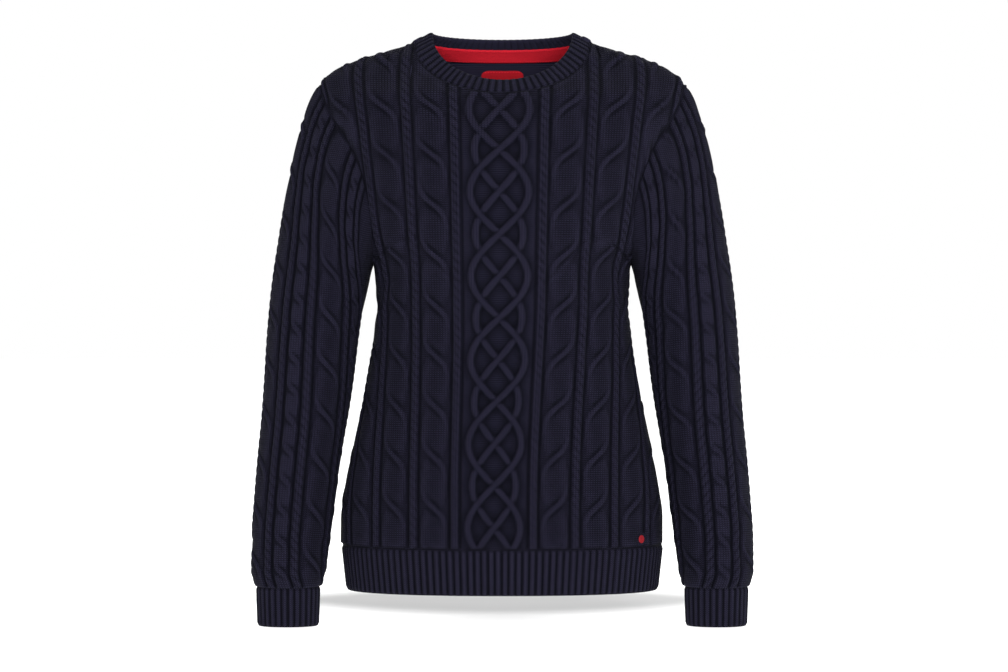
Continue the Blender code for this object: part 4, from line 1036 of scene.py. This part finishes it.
def make_ribbed_band(name, first, second, first_out, second_out, rib, material):
    """A band of ribs between two loops of points. It is ribbed inside too, but less."""
    pitch, height = rib
    sides = np.linalg.norm(np.roll(first, -1, axis=0) - first, axis=1)
    ribs = round(sides.sum() / pitch)
    corners = np.arange(len(first) + 1) / len(first)
    lengths = np.concatenate([[0], np.cumsum(sides)]) / sides.sum()
    columns = ribs * RIB_COLUMNS
    even = np.arange(columns) / columns
    share = np.interp(even, lengths, corners)
    from_rib = (np.mod(even * ribs + 0.5, 1) - 0.5) * pitch
    half = RIB_HALF * pitch
    ridge, purl = cord(from_rib, half), cord(pitch / 2 - np.abs(from_rib), half)
    low, high = along_loop(first, share), along_loop(second, share)
    low_out, high_out = unit(along_loop(first_out, share)), unit(along_loop(second_out, share))
    reach = np.linalg.norm(high - low, axis=-1).mean()
    steps = np.linspace(0, 1, RIB_ROWS)[:, None]
    middle = low * (1 - steps[..., None]) + high * steps[..., None]
    out = unit(low_out * (1 - steps[..., None]) + high_out * steps[..., None])
    rounded = smoothstep(*BAND_ROUND, np.minimum(steps, 1 - steps) * reach)
    roll = BAND_ROLL * (1 - rounded)
    outer_lift = height * ridge * rounded - roll
    inner_lift = WALL + RIB_INSIDE * height * purl * rounded - roll
    wall = Wall()
    around, up = even * sides.sum(), steps * reach
    # Painted shade: the ribs' valleys darker and their tops lighter, and the inside painted lighter
    # all over
    outer_painted_shade = RIB_PAINTED_SHADE * (ridge - RIB_MIDDLE)
    inner_painted_shade_and_light = RIB_PAINTED_SHADE * (purl - RIB_MIDDLE) + INSIDE_PAINTED_LIGHT
    outer = wall.add(middle + out * outer_lift[..., None], around, up, outer_painted_shade, RIB_CABLE)
    inner = wall.add(middle - out * inner_lift[..., None], around, up, inner_painted_shade_and_light, RIB_CABLE)
    wall.grid(outer, closed=True)
    wall.grid(inner, closed=True)
    for row in (0, -1):
        wall.grid(np.stack([outer[row], inner[row]]), closed=True)
    return wall.build(name, material)


def make_hem_rib(material):
    """The ribbed band below the front and back, which share its upper loop of points."""
    front, front_out = panel_seams(-1)
    back, back_out = panel_seams(1)
    upper = np.concatenate([front[0], back[0, -2:0:-1]]) - (0, 0, SEAM_GAP)
    out = np.concatenate([front_out[0], back_out[0, -2:0:-1]])
    wide = torso("half", np.array([HEM_EDGE_Z, HEM_SEAM_Z]))
    deep = [torso(c, np.array([HEM_EDGE_Z, HEM_SEAM_Z])) for c in ("front", "back")]
    scale_y = np.where(upper[:, 1] < 0, deep[0][0] / deep[0][1], deep[1][0] / deep[1][1])
    lower = upper * np.stack([np.full(len(upper), wide[0] / wide[1]), scale_y, 0 * scale_y], axis=1)
    lower[:, 2] = HEM_EDGE_Z
    return make_ribbed_band("hem_band", lower, upper, out, out, HEM_RIB, material)


def make_neckband(material):
    """The ribbed band round the neck, on the neckline's points."""
    across = np.linspace(-1, 1, ACROSS + 1)
    neck = across[np.abs(across) <= 0.5 + 1e-9]
    seam, top, out = [], [], []
    for side, places in ((-1, neck), (1, neck[-2:0:-1])):
        direction, over = neck_mitre(side, places)
        seam.append(panel_point(side, places, 1.0) + over * SEAM_GAP)
        top.append(band_top(places, side))
        out.append(direction)
    seam, top, out = [np.concatenate(rows) for rows in (seam, top, out)]
    around = np.roll(top, -1, axis=0) - np.roll(top, 1, axis=0)
    top_out = unit(np.cross(around, top - seam))
    return make_ribbed_band("neck_ribbing", seam, top, out, top_out, NECK_RIB, material)


def make_cuff(name, mirror, material):
    """The ribbed cuff, on the points of the sleeve's last ring."""
    count = 2 * ALONG_ARMHOLE
    turns = 2 * np.pi * np.arange(count) / count
    ends = np.ones(count)
    upper = sleeve_point(ends, turns) - (0, 0, SEAM_GAP)
    out = unit(sleeve_normal(ends, turns) * (1, 1, 0)) * mirror
    middle = upper.mean(axis=0)
    lower = np.stack(
        [
            middle[0] + CUFF_HALF_WIDTH * np.cos(turns),
            middle[1] - CUFF_HALF_DEPTH * np.sin(turns),
            np.full(count, CUFF_EDGE_Z),
        ],
        axis=1,
    )
    return make_ribbed_band(name, lower * mirror, upper * mirror, out, out, CUFF_RIB, material)


# ---------------------------------------------------------------- nodes


class Value:
    """A socket that gives a value. Sums on it add Math nodes."""

    def __init__(self, nodes, socket):
        self.nodes, self.socket = nodes, socket

    def math(self, operation, *others):
        inputs = {0: self, **dict(enumerate(others, 1))}
        return self.nodes.node("ShaderNodeMath", {"operation": operation}, inputs)

    def reflected(self, operation, other):
        return self.nodes.node("ShaderNodeMath", {"operation": operation}, {0: other, 1: self})

    def __add__(self, other):
        return self.math("ADD", other)

    def __sub__(self, other):
        return self.math("SUBTRACT", other)

    def __mul__(self, other):
        return self.math("MULTIPLY", other)

    def __truediv__(self, other):
        return self.math("DIVIDE", other)

    def __pow__(self, other):
        return self.math("POWER", other)

    def __rsub__(self, other):
        return self.reflected("SUBTRACT", other)

    __radd__, __rmul__ = __add__, __mul__

    def other(self, label):
        """Another output of the node that this value comes from."""
        return Value(self.nodes, self.socket.node.outputs[label])

    def wave(self):
        """A cosine of whole turns, from 0 to 1."""
        return (self * (2 * np.pi)).math("COSINE") * 0.5 + 0.5

    def from_middle(self):
        """How far the place is from the middle of its stitch: 0 there, and 1 at its edges."""
        return (self.math("FRACT") - 0.5).math("ABSOLUTE") * 2


class Nodes:
    """A node tree and the nodes that are added to it."""

    def __init__(self, tree):
        self.tree = tree

    def node(self, kind, settings, inputs, output=0):
        """Any node: its settings first, then the values or links of its sockets."""
        made = self.tree.nodes.new(kind)
        for key, value in settings.items():
            setattr(made, key, value)
        for key, value in inputs.items():
            if isinstance(value, Value):
                self.tree.links.new(value.socket, made.inputs[key])
            else:
                made.inputs[key].default_value = value
        return Value(self, made.outputs[output]) if len(made.outputs) else None


# ---------------------------------------------------------------- tape, label and patch


def back_inside():
    """The inner side of the back and, in one more row, of the neckband above it."""
    across, rows = np.linspace(-1, 1, ACROSS + 1), seam_rows()
    points, out = panel_seams(1)
    at_neck = np.clip(across, -0.5, 0.5)
    _, over = neck_mitre(1, at_neck)
    top = band_top(at_neck, 1)
    around = np.roll(top, -1, axis=0) - np.roll(top, 1, axis=0)
    top_out = unit(np.cross(around, points[-1] + over * SEAM_GAP - top))
    points = np.concatenate([points, top[None]])
    out = np.concatenate([out, top_out[None]])
    return points - out * WALL, out, across, np.append(rows, 2.0)


def read_between(grid, across, rows, u, v):
    """A grid's points read between its own, where u and v are arrays of one shape."""
    i = np.clip(np.searchsorted(across, u) - 1, 0, len(across) - 2)
    j = np.clip(np.searchsorted(rows, v) - 1, 0, len(rows) - 2)
    s = ((u - across[i]) / (across[i + 1] - across[i]))[..., None]
    t = ((v - rows[j]) / (rows[j + 1] - rows[j]))[..., None]
    low = grid[j, i] * (1 - s) + grid[j, i + 1] * s
    high = grid[j + 1, i] * (1 - s) + grid[j + 1, i + 1] * s
    return low * (1 - t) + high * t


def inside_points(size, u, share, deep):
    """Points over the back's inner side, at shares of a strip's height, and deep further in."""
    inner, out, across, rows = back_inside()
    low, high = size["bottom"], size["top"]
    if high > 1:
        ground = (1 - low) * (BACK_RISE / BAND_RISE)
        reach = share * (ground + high - 1) - ground
        v = np.where(reach < 0, 1 + reach * BAND_RISE / BACK_RISE, 1 + reach)
    else:
        v = low + (high - low) * share
    direction = unit(read_between(out, across, rows, u, v))
    return read_between(inner, across, rows, u, v) - direction * deep


def make_strip(name, size, corner, material):
    """A woven strip inside the back neck. corner is its round upper corners' width and drop."""
    u, share = np.meshgrid(np.linspace(-1, 1, STRIP_COLUMNS), np.linspace(0, 1, STRIP_ROWS))
    wide, deep = corner
    bend = np.clip((np.abs(u) - 1 + wide) / wide, 0, 1)
    share = share * (1 - deep * (1 - np.sqrt(1 - bend**2)))
    u = u * size["half"]
    near = inside_points(size, u, share, size["clear"])
    edge = np.minimum(1 - np.abs(u) / size["half"], np.minimum(share, 1 - share) * 0.5)
    thinner = STRIP_EDGE + (1 - STRIP_EDGE) * smoothstep(0, STRIP_EDGE_WIDTH, edge)
    thick = size["thick"] * thinner
    far = inside_points(size, u, share, size["clear"] + thick[..., None])
    width = np.linalg.norm(np.diff(near[0], axis=0), axis=1).sum()
    height = np.linalg.norm(near[-1] - near[0], axis=1).max()
    places = (u / size["half"] * width / 2, share * height)
    wall = Wall()
    under, over = wall.add(near, *places), wall.add(far, *places)
    wall.grid(under)
    wall.grid(over)
    for a, b in zip(border(under), border(over)):
        wall.grid(np.stack([a, b]))
    return wall.build(name, material)


def make_patch(material):
    """A small round patch of satin stitch on the front, just above the hem rib."""
    y = -(ring_y(np.array(PATCH_X), np.array(PATCH_Z), -1) + SEAM_GAP / 2)
    slope_x = ring_y(np.array(PATCH_X + 1.0), np.array(PATCH_Z), -1) + y + SEAM_GAP / 2
    out = unit(np.array([-slope_x, -1.0, 0.0]))
    side = unit(np.array([1.0, -slope_x, 0.0]))
    middle = np.array([PATCH_X, float(y), PATCH_Z]) + out * (PATCH_BED + PATCH_CLEAR)
    turns = 2 * np.pi * np.arange(PATCH_TURNS) / PATCH_TURNS
    upright = np.array([0.0, 0.0, 1.0])
    wall = Wall()
    rings = []
    for reach, lift in PATCH_PROFILE:
        across, up = PATCH_RADIUS * reach * np.cos(turns), PATCH_RADIUS * reach * np.sin(turns)
        thread = PATCH_THREAD_RISE * np.cos(2 * np.pi * across / PATCH_THREAD) * (lift > 0.5)
        ring = across[:, None] * side + up[:, None] * upright
        ring = ring + (PATCH_THICK * lift + thread)[:, None] * out
        rings.append(wall.add(middle + ring, across, up, cable=1.0))
    wall.grid(np.stack(rings), closed=True)
    wall.faces.append(rings[0].tolist())
    wall.faces.append(rings[-1].tolist())
    return wall.build("patch_embroidery", material)


def stitch_tree():
    """Geometry Nodes: stitches of thread along a path, each a small rounded bar."""
    tree = bpy.data.node_groups.new("Sewn stitches", "GeometryNodeTree")
    socket = tree.interface.new_socket
    socket("Path", in_out="INPUT", socket_type="NodeSocketGeometry")
    for label in ("Spacing", "Stitch length", "Thread radius"):
        socket(label, in_out="INPUT", socket_type="NodeSocketFloat")
    socket("Thread", in_out="INPUT", socket_type="NodeSocketMaterial")
    socket("Stitches", in_out="OUTPUT", socket_type="NodeSocketGeometry")

    node = Nodes(tree).node
    path = node("NodeGroupInput", {}, {}, "Path")
    sizes = ("Spacing", "Stitch length", "Thread radius", "Thread")
    spacing, length, radius, thread = [path.other(label) for label in sizes]
    curve = node("GeometryNodeMeshToCurve", {}, {"Mesh": path})
    points = node("GeometryNodeCurveToPoints", {"mode": "LENGTH"}, {"Curve": curve, "Length": spacing})
    tangent = points.other("Tangent")
    turned = node("FunctionNodeAlignRotationToVector", {"axis": "Z"}, {"Vector": tangent})
    round_bar = {"Segments": BAR_SEGMENTS, "Rings": BAR_RINGS, "Radius": 1.0}
    ball = node("GeometryNodeMeshUVSphere", {}, round_bar)
    size = node("ShaderNodeCombineXYZ", {}, {"X": radius, "Y": radius, "Z": length})
    bar = node("GeometryNodeTransform", {}, {"Geometry": ball, "Scale": size})
    places = {"Points": points, "Instance": bar, "Rotation": turned}
    laid = node("GeometryNodeInstanceOnPoints", {}, places)
    real = node("GeometryNodeRealizeInstances", {}, {"Geometry": laid})
    coloured = node("GeometryNodeSetMaterial", {}, {"Geometry": real, "Material": thread})
    node("NodeGroupOutput", {}, {"Stitches": coloured})
    return tree


def sew(name, paths, tree, thread):
    """Runs the stitches along paths of points, as one plain mesh."""
    mesh = bpy.data.meshes.new(name)
    points, edges = [], []
    for path in paths:
        first = len(points)
        points.extend((np.asarray(path) * MM).tolist())
        edges.extend((k, k + 1) for k in range(first, len(points) - 1))
    mesh.from_pydata(points, edges, [])
    laid = bpy.data.objects.new(name, mesh)
    bpy.context.scene.collection.objects.link(laid)
    stitches = laid.modifiers.new("Stitches", "NODES")
    stitches.node_group = tree
    sizes = {
        "Spacing": STITCH_SPACING * MM,
        "Stitch length": STITCH_LENGTH / 2 * MM,
        "Thread radius": THREAD_RADIUS * MM,
        "Thread": thread,
    }
    for item in tree.interface.items_tree:
        if item.name in sizes and item.in_out == "INPUT":
            stitches[item.identifier] = sizes[item.name]
    seen = laid.evaluated_get(bpy.context.evaluated_depsgraph_get())
    sewn = bpy.data.meshes.new_from_object(seen)
    laid.modifiers.clear()
    laid.data = sewn
    return laid


def strip_seam(size, share, inset):
    """A path along a strip, at a share of its height, just over its outer side."""
    reach = size["half"] - inset
    u = np.linspace(-reach, reach, SEAM_POINTS)
    over = size["clear"] + size["thick"] + STITCH_LIFT
    return inside_points(size, u, np.full_like(u, share), over)


# ---------------------------------------------------------------- materials


class Finish(Nodes):
    """A material and the nodes that are added to it."""

    def __init__(self, name, roughness, sheen, sheen_tint):
        self.material = bpy.data.materials.new(name)
        self.material.use_nodes = True
        super().__init__(self.material.node_tree)
        self.shader = self.tree.nodes["Principled BSDF"]
        for socket, value in (
            ("Roughness", roughness),
            ("Specular IOR Level", SPECULAR),
            ("Sheen Weight", sheen),
            ("Sheen Roughness", SHEEN_ROUGHNESS),
            ("Sheen Tint", (*sheen_tint, 1)),
        ):
            self.shader.inputs[socket].default_value = value

    def knit_place(self):
        """How far across and up its knitting or weave each point lies."""
        place = self.node("ShaderNodeUVMap", {"uv_map": "knitting"}, {})
        across = self.node("ShaderNodeSeparateXYZ", {}, {0: place})
        return across * UV_UNIT, across.other("Y") * UV_UNIT

    def mark(self, name):
        return self.node("ShaderNodeAttribute", {"attribute_name": name}, {}, "Fac")

    def noise(self, scale, detail):
        place = self.node("ShaderNodeTexCoord", {}, {}, "Object")
        inputs = {"Vector": place, "Scale": scale, "Detail": detail}
        return self.node("ShaderNodeTexNoise", {}, inputs, "Fac")

    def finish(self, dark, light, share, height, strength, distance):
        """Colours from dark to light by share, and a bump of the height."""
        mix = {"data_type": "RGBA", "clamp_factor": True}
        ends = {"Factor": share, "A": (*dark, 1), "B": (*light, 1)}
        colour = self.node("ShaderNodeMix", mix, ends, "Result")
        self.tree.links.new(colour.socket, self.shader.inputs["Base Color"])
        relief = {"Strength": strength, "Distance": distance, "Height": height}
        bump = self.node("ShaderNodeBump", {}, relief)
        self.tree.links.new(bump.socket, self.shader.inputs["Normal"])
        return self.material


def knit_yarn(name, dark, light):
    """Navy yarn: V stitches on the raised knitting, purl bumps in the ground, and a soft fuzz."""
    yarn = Finish(name, YARN_ROUGHNESS, SHEEN, SHEEN_TINT)
    across, up = yarn.knit_place()
    column, row = across / WALE, up / COURSE
    off = column.from_middle()
    vee = (row - off * VEE_SLANT).wave() * (1 - off**3)
    purl = (row + column.wave() * PURL_SWAY).wave()
    loops = purl + (vee - purl) * yarn.mark("cable")
    fuzz, heather = yarn.noise(FUZZ_SCALE, 2.0), yarn.noise(HEATHER_SCALE, 2.0)
    # Painted shade: the height mark darkens the ditches and lightens what stands out
    tone = yarn.mark("height") * PAINTED_SHADE_TONE + loops * LOOP_TONE
    share = tone + heather * HEATHER_TONE + fuzz * FUZZ_TONE + BASE_TONE
    return yarn.finish(dark, light, share, loops * LOOP_BUMP + fuzz * FUZZ_BUMP, *YARN_BUMP)


def woven_thread(name, dark, light, pitch, sheen):
    """Woven cloth or laid thread: fine slanted lines at the given pitch."""
    cloth = Finish(name, CLOTH_ROUGHNESS, sheen, light)
    across, up = cloth.knit_place()
    twill = ((across + up) / pitch).wave()
    weft = ((across - up * WEFT_SLANT) / pitch).wave()
    fuzz = cloth.noise(CLOTH_FUZZ_SCALE, 1.0)
    share = twill * TWILL_TONE + fuzz * CLOTH_FUZZ_TONE
    relief = twill * TWILL_BUMP + (weft + fuzz) * WEFT_BUMP
    return cloth.finish(dark, light, share, relief, *CLOTH_BUMP)


def plain_finish(name, colour, roughness):
    finish = Finish(name, roughness, 0.0, (1, 1, 1))
    finish.shader.inputs["Base Color"].default_value = (*colour, 1)
    return finish.material


# ---------------------------------------------------------------- the scene


def settle(piece, node):
    """Puts a finished piece in its solid's place, and hides that solid."""
    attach(piece, "root")
    if node:
        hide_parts(node)
    return piece


def light(name, place, aim, size, power):
    lamp = bpy.data.lights.new(name, "AREA")
    lamp.shape, lamp.size, lamp.size_y, lamp.energy = "RECTANGLE", size[0], size[1], power
    obj = bpy.data.objects.new(name, lamp)
    obj.location = place
    obj.rotation_euler = (Vector(aim) - Vector(place)).to_track_quat("-Z", "Y").to_euler()
    bpy.context.scene.collection.objects.link(obj)


def backdrop_world():
    """A dim room that is white all round, as far up as the picture shows it."""
    world = bpy.data.worlds.new("Studio")
    world.use_nodes = True
    room = Nodes(world.node_tree)
    place = room.node("ShaderNodeTexCoord", {}, {}, "Generated")
    rise = room.node("ShaderNodeSeparateXYZ", {}, {0: place}, "Z")
    low, high = BACKDROP_RISE
    ranges = {"Value": rise, "From Min": low, "From Max": high, "To Min": 1.0, "To Max": WORLD_LIGHT}
    spread = room.node("ShaderNodeMapRange", {}, ranges, "Result")
    room.tree.links.new(spread.socket, room.tree.nodes["Background"].inputs["Color"])
    bpy.context.scene.world = world


def floor_finish():
    """White paper that glows, but not in a patch behind the sweater: a painted shadow, placed there.
    """
    paper = Finish("Studio white with painted shadow", FLOOR_ROUGHNESS, 0.0, (1, 1, 1))
    paper.shader.inputs["Base Color"].default_value = (FLOOR_COLOUR,) * 3 + (1,)
    place = paper.node("ShaderNodeTexCoord", {}, {}, "Object")
    across = paper.node("ShaderNodeSeparateXYZ", {}, {0: place})
    away = across.other("Y") - SHADOW_Y
    # Painted shadow: the glow is left out in a patch behind the sweater, narrower to the sides
    from_shadow = away.math("ABSOLUTE") + across**2 * SHADOW_SPREAD
    ranges = {"Value": from_shadow, "From Min": GLOW_FROM, "From Max": GLOW_TO}
    glow = paper.node("ShaderNodeMapRange", {"interpolation_type": "SMOOTHSTEP"}, ranges, "Result")
    paper.tree.links.new(glow.socket, paper.shader.inputs["Emission Color"])
    paper.shader.inputs["Emission Strength"].default_value = 1.0
    return paper.material


def studio():
    """A pale floor, soft lights, and the camera, level with the middle of the sweater."""
    bpy.context.scene.view_settings.view_transform = "Standard"
    backdrop_world()
    mesh = bpy.data.meshes.new("studio_floor")
    turns = ((-1, -1), (1, -1), (1, 1), (-1, 1))
    corners = [(x * FLOOR_HALF, y * FLOOR_HALF, FLOOR_Z) for x, y in turns]
    mesh.from_pydata(corners, [], [(0, 1, 2, 3)])
    mesh.materials.append(floor_finish())
    floor = bpy.data.objects.new("studio_floor", mesh)
    bpy.context.scene.collection.objects.link(floor)
    for lamp in LIGHTS:
        light(*lamp)
    camera = bpy.data.cameras.new("Camera")
    camera.lens, camera.sensor_width = LENS, SENSOR
    obj = bpy.data.objects.new("Camera", camera)
    obj.location, obj.rotation_euler = CAMERA, (np.pi / 2, 0, 0)
    bpy.context.scene.collection.objects.link(obj)
    bpy.context.scene.camera = obj


def main():
    knit = knit_yarn("Navy cable knit", NAVY_DARK, NAVY_LIGHT)
    ribbing = knit_yarn("Navy rib knit", NAVY_DARK, NAVY_LIGHT)
    twill = woven_thread("Red twill", RED_DARK, RED_LIGHT, TWILL_PITCH, TWILL_SHEEN)
    woven = woven_thread("Red woven label", LABEL_DARK, LABEL_LIGHT, LABEL_PITCH, FINE_SHEEN)
    satin = woven_thread("Red embroidery", SATIN_DARK, SATIN_LIGHT, SATIN_PITCH, FINE_SHEEN)
    thread = plain_finish("Red thread", RED_LIGHT, THREAD_ROUGHNESS)
    right, left = np.array([1.0, 1.0, 1.0]), np.array([-1.0, 1.0, 1.0])
    pieces = (
        ("front_panel", make_panel("front_panel", -1, knit), "navy_cable_knit"),
        ("back_panel", make_panel("back_panel", 1, knit), "navy_cable_knit"),
        ("sleeve_right", make_sleeve("sleeve_right", right, knit), "navy_cable_knit"),
        ("sleeve_left", make_sleeve("sleeve_left", left, knit), "navy_cable_knit"),
        ("hem_rib", make_hem_rib(ribbing), "navy_rib_knit"),
        ("neckband", make_neckband(ribbing), "navy_rib_knit"),
        ("cuff_right", make_cuff("cuff_right", right, ribbing), "navy_rib_knit"),
        ("cuff_left", make_cuff("cuff_left", left, ribbing), "navy_rib_knit"),
        ("neck_tape", make_strip("neck_tape", TAPE, TAPE_CORNER, twill), "red_twill_tape"),
        ("neck_label", make_strip("neck_label", LABEL, LABEL_CORNER, woven), "red_woven_label"),
    )
    for node, piece, slot in pieces:
        piece.name = node + "_cloth"
        settle(piece, node)
    settle(make_patch(satin), "hem_patch")
    tree = stitch_tree()
    tape_seams = [strip_seam(TAPE, share, TAPE_SEAM_INSET) for share in TAPE_SEAMS]
    tape_stitches = sew("tape_stitches", tape_seams, tree, thread)
    settle(tape_stitches, None)
    label_seam = strip_seam(LABEL, LABEL_SEAM, LABEL_SEAM_INSET)
    label_stitches = sew("label_stitches", [label_seam], tree, thread)
    settle(label_stitches, None)
    studio()


main()
